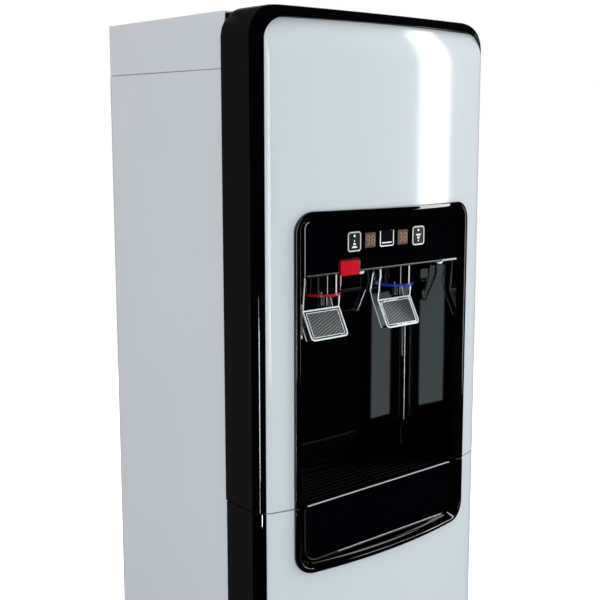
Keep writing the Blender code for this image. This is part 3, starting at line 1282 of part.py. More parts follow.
def build_switches(dark, red, green):
    back = REAR_FACE + GAP
    face = back + SWITCH_COLLAR_PROUD
    height = (SWITCH_Z - SWITCH_HALF_HEIGHT, SWITCH_Z + SWITCH_HALF_HEIGHT)
    housing = add_object("switch_housing",
                         block(housing_sides(0.0), (REAR_FACE - SWITCH_BODY, face), height), dark)
    weld(housing, block(housing_sides(SWITCH_COLLAR), (back, face - GAP / 2),
                        (height[0] - SWITCH_COLLAR, height[1] + SWITCH_COLLAR)))
    pockets = bmesh.new()
    for x in switch_places():
        block((x - SWITCH_HALF_WIDTH + SWITCH_WALL, x + SWITCH_HALF_WIDTH - SWITCH_WALL),
              (REAR_FACE - ROCKER_DEPTH, back + OVERRUN),
              (height[0] + SWITCH_WALL, height[1] - SWITCH_WALL), pockets)
    cut(housing, pockets)
    pivot_y = face - ROCKER_PIVOT_SETBACK
    for name, x, material in (("heating_switch", switch_places()[0], red),
                              ("cooling_switch", switch_places()[1], green)):
        add_object(name, prism(rocker_outline(pivot_y), "x", x - SWITCH_HALF_WIDTH + SWITCH_WALL + GAP,
                               x + SWITCH_HALF_WIDTH - SWITCH_WALL - GAP), material, (x, pivot_y, SWITCH_Z))


def rocker_outline(pivot_y):
    """A rocker with a shallow V face, drawn thrown to one side."""
    half = SWITCH_HALF_HEIGHT - SWITCH_WALL - 2 * GAP
    tilt = math.radians(ROCKER_THROW / 2)
    reach = half * math.cos(tilt) * ROCKER_REACH_SHARE
    centre_y = ROCKER_PIVOT_SETBACK
    wing_y = centre_y + reach * math.tan(tilt)
    root = -ROCKER_ROOT_SHARE * ROCKER_DEPTH
    corners = [(root, -reach * ROCKER_ROOT_SHARE), (wing_y, -reach), (centre_y, 0.0), (wing_y, reach),
               (root, reach * ROCKER_ROOT_SHARE)]
    turned_corners = []
    for y, z in corners:
        turned_corners.append((pivot_y + y * math.cos(-tilt) - z * math.sin(-tilt),
                               SWITCH_Z + y * math.sin(-tilt) + z * math.cos(-tilt)))
    return turned_corners


def build_rear_fittings(dark, white):
    gland = turned(((GLAND_RADIUS, REAR_FACE + GAP), (GLAND_RADIUS, REAR_FACE + GAP + GLAND_FLANGE),
                    (GLAND_BORE_RADIUS, REAR_FACE + GAP + GLAND_FLANGE),
                    (GLAND_BORE_RADIUS, REAR_FACE - GLAND_NECK),
                    (GLAND_NECK_RADIUS, REAR_FACE - GLAND_NECK), (GLAND_NECK_RADIUS, REAR_FACE + GAP)),
                   (GLAND_X, GLAND_Z), axis="y", sides=20, closed=True)
    add_object("cord_gland", gland, dark)
    head = REAR_FACE + GAP
    plug = turned(((0, head + PLUG_HEAD), (PLUG_RADIUS, head + PLUG_HEAD), (PLUG_RADIUS, head),
                   (PLUG_NECK_RADIUS, head), (PLUG_NECK_RADIUS, head - PLUG_NECK), (0, head - PLUG_NECK)),
                  (PLUG_X, GLAND_Z), axis="y", sides=20)
    add_object("drain_plug", plug, white, (PLUG_X, head, GLAND_Z))


HINGE = (HINGE_X, HINGE_Y, DOOR_BOTTOM)

clear_scene()
COOLER = bpy.data.objects.new("cooler", None)
bpy.context.scene.collection.objects.link(COOLER)
COOLER.location = (0, -(FRONT_REACH + REAR_REACH) / 2, 0)

panel_white = make_material("panel_white", (0.62, 0.67, 0.69), 0.12)
sheet_white = make_material("sheet_white", (0.53, 0.56, 0.58), 0.35)
liner_white = make_material("liner_white", (0.66, 0.68, 0.69), 0.45)
frame_black = make_material("frame_black", (0.0075, 0.0070, 0.0060), 0.32)
gloss_black = make_material("gloss_black", (0.004, 0.004, 0.006), 0.08)
moulded_black = make_material("moulded_black", (0.010, 0.010, 0.011), 0.45)
key_black = make_material("key_black", (0.008, 0.008, 0.009), 0.25)
display_amber = make_material("display_amber", (0.25, 0.11, 0.035), 0.30)
smoked_window = make_material("smoked_window", (0.006, 0.006, 0.008), 0.10)
board_green = make_material("board_green", (0.02, 0.12, 0.05), 0.50)
latch_red = make_material("latch_red", (0.68, 0.010, 0.030), 0.30)
ring_red = make_material("ring_red", (0.60, 0.004, 0.015), 0.28)
ring_blue = make_material("ring_blue", (0.004, 0.025, 0.45), 0.28)
clear_plastic = make_material("clear_plastic", (0.75, 0.78, 0.80), 0.08)
rubber_black = make_material("rubber_black", (0.015, 0.015, 0.015), 0.80)
zinc_steel = make_material("zinc_steel", (0.55, 0.55, 0.53), 0.35, 0.9)
tank_steel = make_material("tank_steel", (0.60, 0.60, 0.60), 0.25, 1.0)
foam_white = make_material("foam_white", (0.80, 0.80, 0.78), 0.90)
copper_tube = make_material("copper_tube", (0.70, 0.33, 0.20), 0.35, 1.0)
heater_grey = make_material("heater_grey", (0.35, 0.35, 0.36), 0.60, 0.5)
silicone_clear = make_material("silicone_clear", (0.70, 0.72, 0.72), 0.40)
condenser_black = make_material("condenser_black", (0.012, 0.012, 0.012), 0.50)
switch_red = make_material("switch_red", (0.45, 0.01, 0.01), 0.30)
switch_green = make_material("switch_green", (0.01, 0.25, 0.06), 0.30)

build_base(moulded_black, rubber_black)
build_side_panels(sheet_white)
build_rear_panel(sheet_white)
build_top_cover(sheet_white)
build_upper_frame(frame_black)
build_upper_panel(panel_white)
build_bay(gloss_black)
build_fascia(gloss_black, display_amber, smoked_window, key_black, board_green)
build_latch(latch_red)
build_tap("hot_tap", -TAP_X, gloss_black)
build_tap("cold_tap", TAP_X, gloss_black)
build_ring("hot_ring", -TAP_X, ring_red)
build_ring("cold_ring", TAP_X, ring_blue)
build_lever("hot_lever", -TAP_X, clear_plastic)
build_lever("cold_lever", TAP_X, clear_plastic)
build_lever_spring("hot_lever_spring", -TAP_X, zinc_steel)
build_lever_spring("cold_lever_spring", TAP_X, zinc_steel)
build_tray(gloss_black, moulded_black)
build_door_frame(frame_black)
build_door_panel(panel_white)
build_door_inset(gloss_black)
build_door_liner(liner_white)
build_hinge(zinc_steel, moulded_black)
build_shelves(zinc_steel)
build_compressor(condenser_black, zinc_steel)
build_condenser(condenser_black)
build_tanks(tank_steel, foam_white, copper_tube, liner_white, heater_grey)
build_hoses(silicone_clear)
build_pump(moulded_black, silicone_clear, liner_white)
build_switches(moulded_black, switch_red, switch_green)
build_rear_fittings(moulded_black, liner_white)
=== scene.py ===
"""Studio scene of a bottom-loading water cooler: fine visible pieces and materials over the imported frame."""
import math

import bmesh
import bpy
from mathutils import Matrix, Vector


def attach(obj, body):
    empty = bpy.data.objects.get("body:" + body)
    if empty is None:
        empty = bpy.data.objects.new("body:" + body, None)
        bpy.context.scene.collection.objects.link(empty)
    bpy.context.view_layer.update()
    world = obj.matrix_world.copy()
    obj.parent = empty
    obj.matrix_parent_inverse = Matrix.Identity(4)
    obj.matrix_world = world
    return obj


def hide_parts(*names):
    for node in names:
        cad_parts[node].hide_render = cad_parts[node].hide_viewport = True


# Sizes in metres. Pieces are drawn with y counted back from the front panel's apex, then shifted by Y_SHIFT.
Y_SHIFT = -0.1512
BOW_RADIUS = 0.560
GAP = 0.0003
OVERRUN = 0.020
BOW_STEPS = 56
CORNER_STEPS = 14
SMALL_STEPS = 6
LINE_SIDES = 20
DIM_SIDES = 12
THIN_SIDES = 8
EDGE_FINE = 0.0003
EDGE_SMALL = 0.0005
EDGE_SOFT = 0.0006
SHARP_ANGLE = math.radians(32)
FLAT_ANGLE = math.radians(0.5)
WELD_REACH = 0.000002
HALF = 0.155
HEIGHT = 1.040
SPLIT_Z = 0.566
SPLIT_HALF_GAP = 0.0006
ABOVE_SPLIT = SPLIT_Z + SPLIT_HALF_GAP
BELOW_SPLIT = SPLIT_Z - SPLIT_HALF_GAP

FRAME_REAR = 0.076
DOOR_REAR = 0.0745
FRAME_SHOULDER = 0.033
FRAME_SIDE_BAND = 0.0080
FRAME_TOP_BAND = 0.0122
FRAME_RADIUS = 0.030
FRAME_INNER_RADIUS = 0.020
FRAME_LIP = 0.0060
FRAME_STEP = 0.0008
FRAME_WALL_SHARE = 0.32
FRAME_TONGUE = 0.0045
FRAME_TONGUE_SHARES = (0.56, 0.86)
FRAME_FLANGE = 0.0025
# Section of the surround: share of its width, then how far it has turned to the front at the sides and
# where it runs level
BAND_POINTS = ((0.0, 0.0, 0.0), (0.05, 0.36, 0.29), (0.12, 0.55, 0.45), (0.20, 0.66, 0.60), (0.26, 0.715, 0.66),
               (0.32, 0.742, 0.71), (0.42, 0.768, 0.785), (0.70, 0.838, 0.915), (1.0, 0.91, 1.0))
BAND_STEPS = 5
DOOR_BOTTOM = 0.0375
DOOR_RADIUS = 0.014
DOOR_INNER_RADIUS = 0.008
DOOR_FLANGE_SHARE = 1.7
PANEL_THICKNESS = 0.003
ROLL_HEIGHT = 0.034
ROLL_DEPTH = 0.0056
ROLL_STEPS = 10
SIDE_ROLL = 0.009
SIDE_ROLL_DEPTH = 0.0008

RIM_HALF = 0.120
RIM_TOP = 0.852
RIM_TOP_BAND = 0.0092
RIM_RADIUS = 0.020
RIM_INNER_RADIUS = 0.0075
RIM_PROUD = 0.0032
# Section of the rim: share of its width, then the rise at the sides, along the bottom and along the top
RIM_POINTS = ((0.0, 0.0, 0.0, 0.0), (0.004, 0.55, 0.55, 0.55), (0.03, 0.84, 0.84, 0.84), (0.12, 0.95, 0.95, 0.95),
              (0.26, 0.98, 0.98, 0.98), (0.38, 0.98, 0.985, 0.98), (0.43, 0.90, 0.97, 0.95),
              (0.50, 0.60, 0.86, 0.88), (0.60, 0.15, 0.36, 0.76), (0.72, -0.38, -0.22, 0.60))
RIM_STEPS = 4
RIM_TOP_END = -0.0004
RIM_TOP_LEDGE = 0.0002
RIM_NECK_SHARE = 0.55
RIM_NECK_DEPTH = 0.0045
NECK_GAP = 0.0004
RIM_INNER_TOP = 0.8428
INSET_BOTTOM = 0.498
INSET_INNER_HALF = 0.1085
INSET_BOTTOM_BAND = 0.0085
INSET_INNER_RADIUS = 0.012
INSET_BACK = 0.026
INSET_WALL_SHARE = 0.82

BAY_HALF = 0.1082
BAY_WALL = 0.0022
BAY_BACK = 0.0905
BAY_RADIUS = 0.008
BAY_CEILING = 0.002
BAY_CEILING_FRONT = 0.0195
WELL_HALF = 0.103
WELL_FRONT = 0.0305
WELL_BACK = 0.0881
WELL_FLOOR_TOP = 0.5237
WELL_FLOOR = 0.0022
WELL_LEDGE = 0.001

FASCIA_FRONT = 0.012
FASCIA_THICKNESS = 0.0025
FASCIA_BACK = FASCIA_FRONT + FASCIA_THICKNESS
FASCIA_BOTTOM = 0.7893
FASCIA_RADIUS = 0.007
FASCIA_EDGE_GAP = 0.0004
FASCIA_LIP = 0.0043
FASCIA_LIP_HEIGHT = 0.0015
FASCIA_EDGE = 0.0012
# Beads along the edges of the fascia, the thinner one up the left side painted light grey as a highlight:
# thickness of the lower line, its inset from the ends, how far it stands forward, and the thinner line up the left
# side
LINE_BEAD = 0.0011
LINE_INSET = 0.003
LINE_LATCH_GAP = 0.001
LINE_EDGE = 0.0004
LINE_BACK = 0.0003
SIDE_BEAD = 0.0004
SIDE_BEAD_INSET = 0.0008
SIDE_BEAD_START = 0.001
SIDE_BEAD_SIDES = 10
# Reach, inset and forward stand of the painted highlight near the right end of the fascia's lower line
SHINE_REACH = 0.026
SHINE_INSET = 0.004
SHINE_PROUD = 0.0002
TRIM_GAP = 0.0011
TRIM_RADIUS = 0.003
TRIM_FOOT = 0.002
TRIM_BEAD = 0.00035
BUMPERS = (("left", -0.0315), ("right", 0.0830))
BUMPER_RADIUS = 0.0036
BUMPER_DROP = 0.0034
BUMPER_SEAT = 0.0008
BUMPER_BACK = 0.0040
BUMPER_SIDES = 28
ROW_Z = 0.8195
KEY_X = 0.0448
KEY_WIDTH = 0.0185
KEY_HEIGHT = 0.0205
KEY_RADIUS = 0.004
KEY_FRONT = FASCIA_FRONT - 0.0008
KEY_BODY = 0.003
KEY_SINK = 0.0038
KEY_PRINT = KEY_FRONT - 0.00012
KEY_RING = (-0.0005, -0.0018)
KEY_RING_BACK = 0.0002
KEY_RING_EDGE = 0.00015
# The key's lamp: radius and setback from the key's face
KEY_LAMP = ((0, -0.0003), (0.0010, -0.0002), (0.0013, 0.0001), (0, 0.0001))
KEY_LAMP_RISE = 0.0056
KEY_LAMP_SIDES = 20
# Marks on the keys: half widths from the top down, then the shares of them at the foot and the top of a mark
KEY_MARKS = {"button_hot": (-KEY_X, (0.0007, 0.0019, 0.0037), 1.0, 0.62),
             "button_cold": (KEY_X, (0.0037, 0.0021, 0.0008), 0.62, 1.0)}
MARK_TOP = 0.0008
MARK_PITCH = 0.0030
MARK_HALF = 0.0009
PRINT_SUNK = 0.0001
DISPLAY_X = 0.0227
DISPLAY_WIDTH = 0.0144
DISPLAY_HEIGHT = 0.0148
INDICATOR_WIDTH = 0.021
INDICATOR_HEIGHT = 0.0166
WINDOW_FRONT = FASCIA_FRONT - 0.0002
WINDOW_BACK = 0.0197
WINDOW_PRINT = (WINDOW_FRONT - 0.00008, WINDOW_FRONT + PRINT_SUNK)
# Seven-segment bars: (centre x, centre z, lies flat) with the centre as shares of the digit's half size
SEGMENTS = {"a": (0, 1, 1), "b": (1, 0.5, 0), "c": (1, -0.5, 0), "d": (0, -1, 1), "e": (-1, -0.5, 0),
            "f": (-1, 0.5, 0), "g": (0, 0, 1)}
DIGITS = {3: "abcdg", 8: "abcdefg", 9: "abcdfg"}
DIGIT_OFFSET = 0.0034
DIGIT_HALF_WIDTH = 0.0019
DIGIT_HALF_HEIGHT = 0.0041
DIGIT_LINE = 0.0011
DIGIT_TRIM = 0.35
CUP_HALF = 0.0097
CUP_REACH = 0.0078
CUP_LINE = 0.0011
CUP_RADIUS = 0.0022
CUP_BAR_HALF = 0.0066
CUP_BAR = (ROW_Z - 0.0047, ROW_Z - 0.0034)
LATCH_X = -0.0505
LATCH_WIDTH = 0.0250
LATCH_TOP = 0.8016
LATCH_BOTTOM = 0.7872
LATCH_FRONT = 0.0105
LATCH_THICKNESS = 0.003
LATCH_RADIUS = 0.0018
LATCH_WEB = 0.0014
LATCH_EYE = 0.0026
LATCH_PIVOT = (0.0172, 0.800)

TAP_X = 0.052
TAP_Y = 0.051
TAP_RADIUS = 0.0185
TAP_TOP = 0.808
TAP_ROUND = 0.002
TAP_BOTTOM = 0.7635
TAP_CHAMFER = 0.0008
TAP_CHAMBER = 0.0145
TAP_SIDES = 72
TAP_CLEARANCE = 0.0007
HOLE_SIDES = 48
NOZZLE_RADIUS = 0.0065
NOZZLE_ROOT = 0.001
NOZZLE_TIP = 0.7525
NOZZLE_CHAMFER = 0.0006
NOZZLE_BORE = 0.0025
RING_HEIGHT = 0.003
RING_PROUD = 0.001
RING_STEPS = 8
STEM_RADIUS = 0.007
STEM_Z = 0.7995
STEM_START = 0.009
STEM_END = 0.1125
STEM_CLEARANCE = 0.0004
PIN_RADIUS = 0.0015
PIN_REACH = 0.0013
PIN_SIDES = 20
SPRING_TURNS = 3
SPRING_STEPS = 16
SPRING_RADIUS = 0.0029
SPRING_WIRE = 0.0005
LEVER_HALF = 0.0243
LEVER_PLATE = 0.0025
LEVER_PADDLE = 0.0026
LEVER_PIVOT = (0.055, 0.8005)
LEVER_EYE_RADIUS = 0.0055
LEVER_BORE = 0.0018
BORE_BEYOND = 0.01
LEVER_CORNER = 0.0045
LEVER_SLOT = (0.047, 0.067)
LEVER_SLOT_GAP = 0.0006
LEVER_SIDE = ((0.0605, 0.7762), (0.0646, 0.7576), (0.0603, 0.7464), (0.0465, 0.7195), (0.0375, 0.7205),
              (0.0525, 0.7485), (0.0495, 0.7762))
LEVER_BEYOND = 0.08
PADDLE_EDGE = 0.0030
PADDLE_WINDOW_INSET = 0.0006
PADDLE_WINDOW_RADIUS = 0.0012
PADDLE_DEEP = 0.0011
PADDLE_OPEN = 0.004
PADDLE_CUT = (-0.03, 0.04)
PADDLE_BEYOND = 0.03
PADDLE_STEPS = 5
RIB_PITCH = 0.0030
RIB_ROOT = -PADDLE_DEEP - 0.0001
# Two sets of ribs: slope, thickness, height of their tops against the paddle's face
RIB_SETS = ((0.42, 0.0013, -0.0002), (-0.42, 0.0004, -PADDLE_DEEP + 0.0002))
BED_THICKNESS = 0.0001
LEVER_BEAD_INSET = 0.0004
LEVER_BEAD_RADIUS = 0.0042
LEVER_BEAD = 0.00085
LEVER_WINDOW_BEAD = 0.0004
LEVER_SIDE_BEAD = 0.00065

TRAY_FRONT = 0.014
TRAY_PLATE = 0.0028
TRAY_FRONT_HALF = 0.105
TRAY_FRONT_TOP = 0.5643
TRAY_FRONT_BOTTOM = 0.5075
TRAY_FRONT_RADIUS = 0.014
TRAY_FRONT_TOP_RADIUS = 0.003
TRAY_HALF = 0.101
TRAY_BACK = 0.0860
TRAY_RIM = 0.562
TRAY_WALL = 0.0018
TRAY_CORNER = 0.003
TRAY_BEAD = 0.0007
TRAY_BEAD_START = -0.062
GRILLE_THICKNESS = 0.0017
GRILLE_EDGE = 0.006
GRILLE_SLOT = 0.004
GRILLE_BAR = 0.003

# Where the noise of a finish starts and ends to count, and how much finer its patches of roughness are
NOISE_RANGE = (0.3, 0.7)
PATCH_SCALE = 3.7
GRAIN_DEPTH = 0.0001

# CAD nodes shown by a copy with rounded edges: the width of the rounding
ROUNDED_NODES = {
    "side_panel_left": 0.0012, "side_panel_right": 0.0012, "rear_panel": 0.0008, "top_cover": 0.0015,
    "base": 0.0015, "foot_front_left": 0.0012, "foot_front_right": 0.0012, "foot_rear_left": 0.0012,
    "foot_rear_right": 0.0012, "condenser": 0.0005, "compressor": 0.004, "switch_housing": 0.0006,
    "cord_gland": 0.0006, "drain_plug": 0.0008, "heating_switch": 0.0005, "cooling_switch": 0.0005,
    "door_liner": 0.0010, "hinge_bracket": 0.0005, "suction_probe": 0.0010, "pump": 0.0012,
    "compartment_ceiling": 0.0004, "tank_shelf": 0.0004, "catch_magnet": 0.0004, "lower_hinge_pin": 0.0004,
    "upper_hinge_pin": 0.0004,
}
# The bodies of those that aren't part of the cabinet
MOVING_NODES = {"drain_plug": "drain_plug", "heating_switch": "heating_switch", "cooling_switch": "cooling_switch",
                "door_liner": "door", "suction_probe": "suction_probe"}
# How near to the top cover's front edge a point has to be to move with it
FRONT_REACH = 0.0001
NODE_LOOKS = {
    "moulded_black": ("base", "catch_magnet", "pump", "switch_housing", "cord_gland"),
    "rubber_black": ("foot_front_left", "foot_front_right", "foot_rear_left", "foot_rear_right"),
    "sheet_white": ("side_panel_left", "side_panel_right", "rear_panel", "top_cover"),
    "liner_white": ("door_liner", "cold_tank_lid", "suction_probe", "drain_plug"),
    "zinc_steel": ("lower_hinge_pin", "upper_hinge_pin", "hinge_bracket", "compartment_ceiling", "tank_shelf",
                   "compressor_bracket"),
    "condenser_black": ("compressor", "condenser"),
    "silicone_clear": ("hot_hose", "cold_hose", "supply_hose", "suction_hose"),
    "tank_steel": ("cold_tank", "hot_tank"),
    "foam_white": ("cold_tank_insulation",), "copper_tube": ("evaporator",), "heater_grey": ("heater_band",),
    "board_green": ("control_board",), "switch_red": ("heating_switch",), "switch_green": ("cooling_switch",),
}

# Materials by name
look = {}


# Camera at the photograph's viewpoint

def make_camera():
    yaw, pitch, roll = 0.72327987, 0.14316354, 0.00299976
    place_at = (-0.71412, -0.86223, 0.93058)
    forward = Vector((math.sin(yaw) * math.cos(pitch), math.cos(yaw) * math.cos(pitch), -math.sin(pitch)))
    right = Vector((math.cos(yaw), -math.sin(yaw), 0.0))
    up = right.cross(forward)
    across = right * math.cos(roll) + up * math.sin(roll)
    upright = up * math.cos(roll) - right * math.sin(roll)
    data = bpy.data.cameras.new("camera")
    data.lens = 61.11
    data.sensor_width = 36.0
    data.shift_x = -0.05
    data.shift_y = -0.045
    data.clip_start = 0.05
    data.clip_end = 50.0
    camera = bpy.data.objects.new("camera", data)
    bpy.context.scene.collection.objects.link(camera)
    turn = Matrix((across, upright, -forward)).transposed().to_4x4()
    camera.matrix_world = Matrix.Translation(place_at) @ turn
    bpy.context.scene.camera = camera


# Outlines: lists of points in a plane

def bow(x):
    """How far the front of the cooler has curved back at x."""
    return BOW_RADIUS - math.sqrt(BOW_RADIUS ** 2 - x * x)


def span(centre, width, grow=0.0):
    return centre - width / 2 - grow, centre + width / 2 + grow


def around(centre, reach):
    return centre - reach, centre + reach


def arc(centre, radius, start, end, steps=CORNER_STEPS):
    points = []
    for step in range(steps + 1):
        angle = math.radians(start + (end - start) * step / steps)
        points.append((centre[0] + radius * math.cos(angle), centre[1] + radius * math.sin(angle)))
    return points


def circle(centre, radius, sides):
    angles = [2 * math.pi * side / sides for side in range(sides)]
    return [(centre[0] + radius * math.cos(angle), centre[1] + radius * math.sin(angle)) for angle in angles]


def rounded_rect(left, right, low, high, bottom_radius, top_radius=None):
    top_radius = bottom_radius if top_radius is None else top_radius
    points = arc((right - bottom_radius, low + bottom_radius), bottom_radius, -90, 0)
    points += arc((right - top_radius, high - top_radius), top_radius, 0, 90)
    points += arc((left + top_radius, high - top_radius), top_radius, 90, 180)
    return points + arc((left + bottom_radius, low + bottom_radius), bottom_radius, 180, 270)


def smooth_line(points, steps):
    """A smooth curve through points, with steps pieces between each two."""
    line = []
    for index in range(len(points) - 1):
        before = Vector(points[max(index - 1, 0)])
        start, end = Vector(points[index]), Vector(points[index + 1])
        after = Vector(points[min(index + 2, len(points) - 1)])
        for step in range(steps):
            t = step / steps
            line.append(tuple(0.5 * (2 * start + (end - before) * t
                                     + (2 * before - 5 * start + 4 * end - after) * t ** 2
                                     + (3 * start - before - 3 * end + after) * t ** 3)))
    return line + [tuple(points[-1])]


def arch(half, open_z, closed_z, radius):
    """An outline open at one end: up one side, round two corners and down the other."""
    sign = 1 if closed_z > open_z else -1
    corner_z = closed_z - sign * radius
    flat = half - radius
    left = [(-u, v) for u, v in arc((flat, 0), radius, 0, 90)]
    points = [(-half, open_z)] + [(u, corner_z + sign * v) for u, v in left]
    points += [(-flat + 2 * flat * step / BOW_STEPS, closed_z) for step in range(1, BOW_STEPS)]
    return points + [(-u, corner_z + sign * v) for u, v in reversed(left)] + [(half, open_z)]


def plan_outline(half, front, back, radius):
    """Plan outline with square front corners and round back ones."""
    points = [(-half, front), (half, front)] + arc((half - radius, back - radius), radius, 0, 90)
    return points + arc((-half + radius, back - radius), radius, 90, 180)


def bowed_outline(half, front, back, back_radius=None):
    """Plan outline with a bowed front and, without a radius, a bowed back."""
    xs = [-half + 2 * half * step / BOW_STEPS for step in range(BOW_STEPS + 1)]
    points = [(x, bow(x) + front) for x in xs]
    if back_radius is None:
        return points + [(x, bow(x) + back) for x in reversed(xs)]
    return points + plan_outline(half, front, back, back_radius)[2:]


def clipped(polygon, axis, limit, keep_below):
    """The part of a flat polygon on one side of a line square to the given axis."""
    result = []
    for index, point in enumerate(polygon):
        follow = polygon[(index + 1) % len(polygon)]
        inside, next_inside = (point[axis] <= limit) == keep_below, (follow[axis] <= limit) == keep_below
        if inside:
            result.append(point)
        if inside != next_inside:
            share = (limit - point[axis]) / (follow[axis] - point[axis])
            result.append(tuple(a + (b - a) * share for a, b in zip(point, follow)))
    return result


# Shapes: each returns a new bmesh in the cooler's own frame, or the given one with more in it

def place(axis, u, v, along):
    return {"x": (along, u, v), "y": (u, along, v), "z": (u, v, along)}[axis]


def join_loops(shape, first, follow):
    """Faces all the way round between two loops of as many points."""
    count = len(first)
    return [shape.faces.new((first[index], first[(index + 1) % count], follow[(index + 1) % count], follow[index]))
            for index in range(count)]


def extrude(near, far, shape=None):
    """A solid between two outlines."""
    shape = shape or bmesh.new()
    near, far = ([shape.verts.new(point) for point in line] for line in (near, far))
    faces = [shape.faces.new(near), shape.faces.new(far)] + join_loops(shape, near, far)
    bmesh.ops.recalc_face_normals(shape, faces=faces)
    return shape


def prism(outline, axis, start, end, shape=None):
    return extrude(*([place(axis, u, v, along) for u, v in outline] for along in (start, end)), shape)


def block(x, y, z, shape=None):
    return prism([(x[0], y[0]), (x[1], y[0]), (x[1], y[1]), (x[0], y[1])], "z", z[0], z[1], shape)


def rod(axis, centre, radius, start, end, sides=32, shape=None):
    return prism(circle(centre, radius, sides), axis, start, end, shape)


def turned(profile, centre, axis="z", sides=64, closed=False):
    """A solid of revolution from (radius, height) points."""
    shape = bmesh.new()
    rings = []
    for radius, height in profile:
        if radius == 0:
            rings.append([shape.verts.new(place(axis, *centre, height))] * sides)
        else:
            rings.append([shape.verts.new(place(axis, u, v, height)) for u, v in circle(centre, radius, sides)])
    faces = []
    for upper, lower in zip(rings, rings[1:] + rings[:1] * closed):
        for side in range(sides):
            other = (side + 1) % sides
            corners = list(dict.fromkeys((upper[side], upper[other], lower[other], lower[side])))
            if len(corners) > 2:
                faces.append(shape.faces.new(corners))
    bmesh.ops.recalc_face_normals(shape, faces=faces)
    return shape


def loft(shape, rings, second=()):
    """Joins rings of points in turn and closes both ends; second lists the strips of slot 1."""
    for first, follow in zip(rings, rings[1:]):
        for index, face in enumerate(join_loops(shape, first, follow)):
            face.material_index = int(index in second)
    for ring in (rings[0], rings[-1]):
        shape.faces.new(ring)
    bmesh.ops.recalc_face_normals(shape, faces=shape.faces)
    return shape


def surround(outer, inner, profile, second=()):
    """A solid swept round an arch from (share, setback, bow share) points; second lists the strips of slot 1.

    A fourth value is the setback where the arch runs level.
    """
    shape = bmesh.new()
    rings = []
    for (outer_x, outer_z), (inner_x, inner_z) in zip(outer, inner):
        ring = []
        wide, high = abs(outer_x - inner_x), abs(outer_z - inner_z)
        level = high / (wide + high)
        for share, setback, bow_share, *ends in profile:
            for end in ends:
                setback += (end - setback) * level
            x = outer_x + (inner_x - outer_x) * share
            z = outer_z + (inner_z - outer_z) * share
            ring.append(shape.verts.new((x, setback + bow_share * bow(x), z)))
        rings.append(ring)
    return loft(shape, rings, second)


def ring_of(outer, inner, start, end):
    """A flat ring between two outlines of as many points, facing forward."""
    shape = bmesh.new()
    loops = [[shape.verts.new((x, y, z)) for x, z in line]
             for line, y in ((outer, start), (inner, start), (inner, end), (outer, end))]
    for first, follow in zip(loops, loops[1:] + loops[:1]):
        join_loops(shape, first, follow)
    bmesh.ops.recalc_face_normals(shape, faces=shape.faces)
    return shape


def pipe(points, radius, sides, shape=None):
    """A round bar along a line of points."""
    shape = shape or bmesh.new()
    points = [Vector(point) for point in points]
    angles = [2 * math.pi * (side + 0.5) / sides for side in range(sides)]
    rings = []
    across = Vector((0.0, 0.6, 0.8))
    for index, point in enumerate(points):
        along = (points[min(index + 1, len(points) - 1)] - points[max(index - 1, 0)]).normalized()
        across = (across - along * across.dot(along)).normalized()
        up = along.cross(across)
        rings.append([shape.verts.new(point + (across * math.cos(angle) + up * math.sin(angle)) * radius)
                      for angle in angles])
    return loft(shape, rings)


def bead(line, y, radius, sides, shape=None):
    """A pipe along (x, z) points."""
    return pipe([(x, y, z) for x, z in line], radius, sides, shape)


# Object helpers

def new_object(name, shape):
    mesh = bpy.data.meshes.new(name)
    shape.to_mesh(mesh)
    shape.free()
    item = bpy.data.objects.new(name, mesh)
    bpy.context.scene.collection.objects.link(item)
    return item


def shade(mesh):
    mesh.shade_smooth()
    mesh.set_sharp_from_angle(angle=SHARP_ANGLE)


def add_piece(name, shape, looks, body, stands_for=(), bevel=0.0, segments=2):
    """A piece that rides on a CAD body and may stand for CAD nodes; looks are names of materials."""
    bmesh.ops.translate(shape, verts=shape.verts, vec=(0, Y_SHIFT, 0))
    item = new_object(name, shape)
    for material in (looks,) if isinstance(looks, str) else looks:
        item.data.materials.append(look[material])
    shade(item.data)
    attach(item, body)
    if stands_for:
        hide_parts(*stands_for)
    if bevel:
        round_edges(item, bevel, segments)
    return item


def round_edges(item, width, segments=2):
    item.data.set_sharp_from_angle(angle=SHARP_ANGLE)
    modifier = item.modifiers.new("Bevel", "BEVEL")
    modifier.width = width
    modifier.segments = segments
    modifier.limit_method = "ANGLE"
    modifier.angle_limit = SHARP_ANGLE
    modifier.miter_outer = "MITER_ARC"
    even = item.modifiers.new("Even", "WEIGHTED_NORMAL")
    even.keep_sharp = True
    even.weight = 90


def carve(item, shape, operation="DIFFERENCE"):
    """Applies a Boolean with the given shape straight to the piece's mesh."""
    bmesh.ops.translate(shape, verts=shape.verts, vec=(0, Y_SHIFT, 0))
    tool = new_object("tool", shape)
    modifier = item.modifiers.new("Boolean", "BOOLEAN")
    modifier.operation = operation
    modifier.object = tool
    graph = bpy.context.evaluated_depsgraph_get()
    result = bpy.data.meshes.new_from_object(item.evaluated_get(graph))
    item.modifiers.clear()
    item.data = result
    shade(result)
    bpy.data.objects.remove(tool)
    return item


def refine(node, material, body, width):
    """Shows a CAD node by a copy of its mesh with flat faces joined and edges rounded."""
    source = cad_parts[node]
    shape = bmesh.new()
    shape.from_mesh(source.data)
    bmesh.ops.remove_doubles(shape, verts=shape.verts, dist=WELD_REACH)
    bmesh.ops.dissolve_limit(shape, angle_limit=FLAT_ANGLE, verts=shape.verts, edges=shape.edges)
    shape.transform(source.matrix_world)
    if node == "top_cover":
        # The cover's front edge comes up to the back of the surround
        front = min(vert.co.y for vert in shape.verts)
        for vert in shape.verts:
            if vert.co.y < front + FRONT_REACH:
                vert.co.y = FRAME_REAR + GAP + Y_SHIFT
    bmesh.ops.translate(shape, verts=shape.verts, vec=(0, -Y_SHIFT, 0))
    add_piece(node + "_shell", shape, material, body, (node,), bevel=width)


# Materials

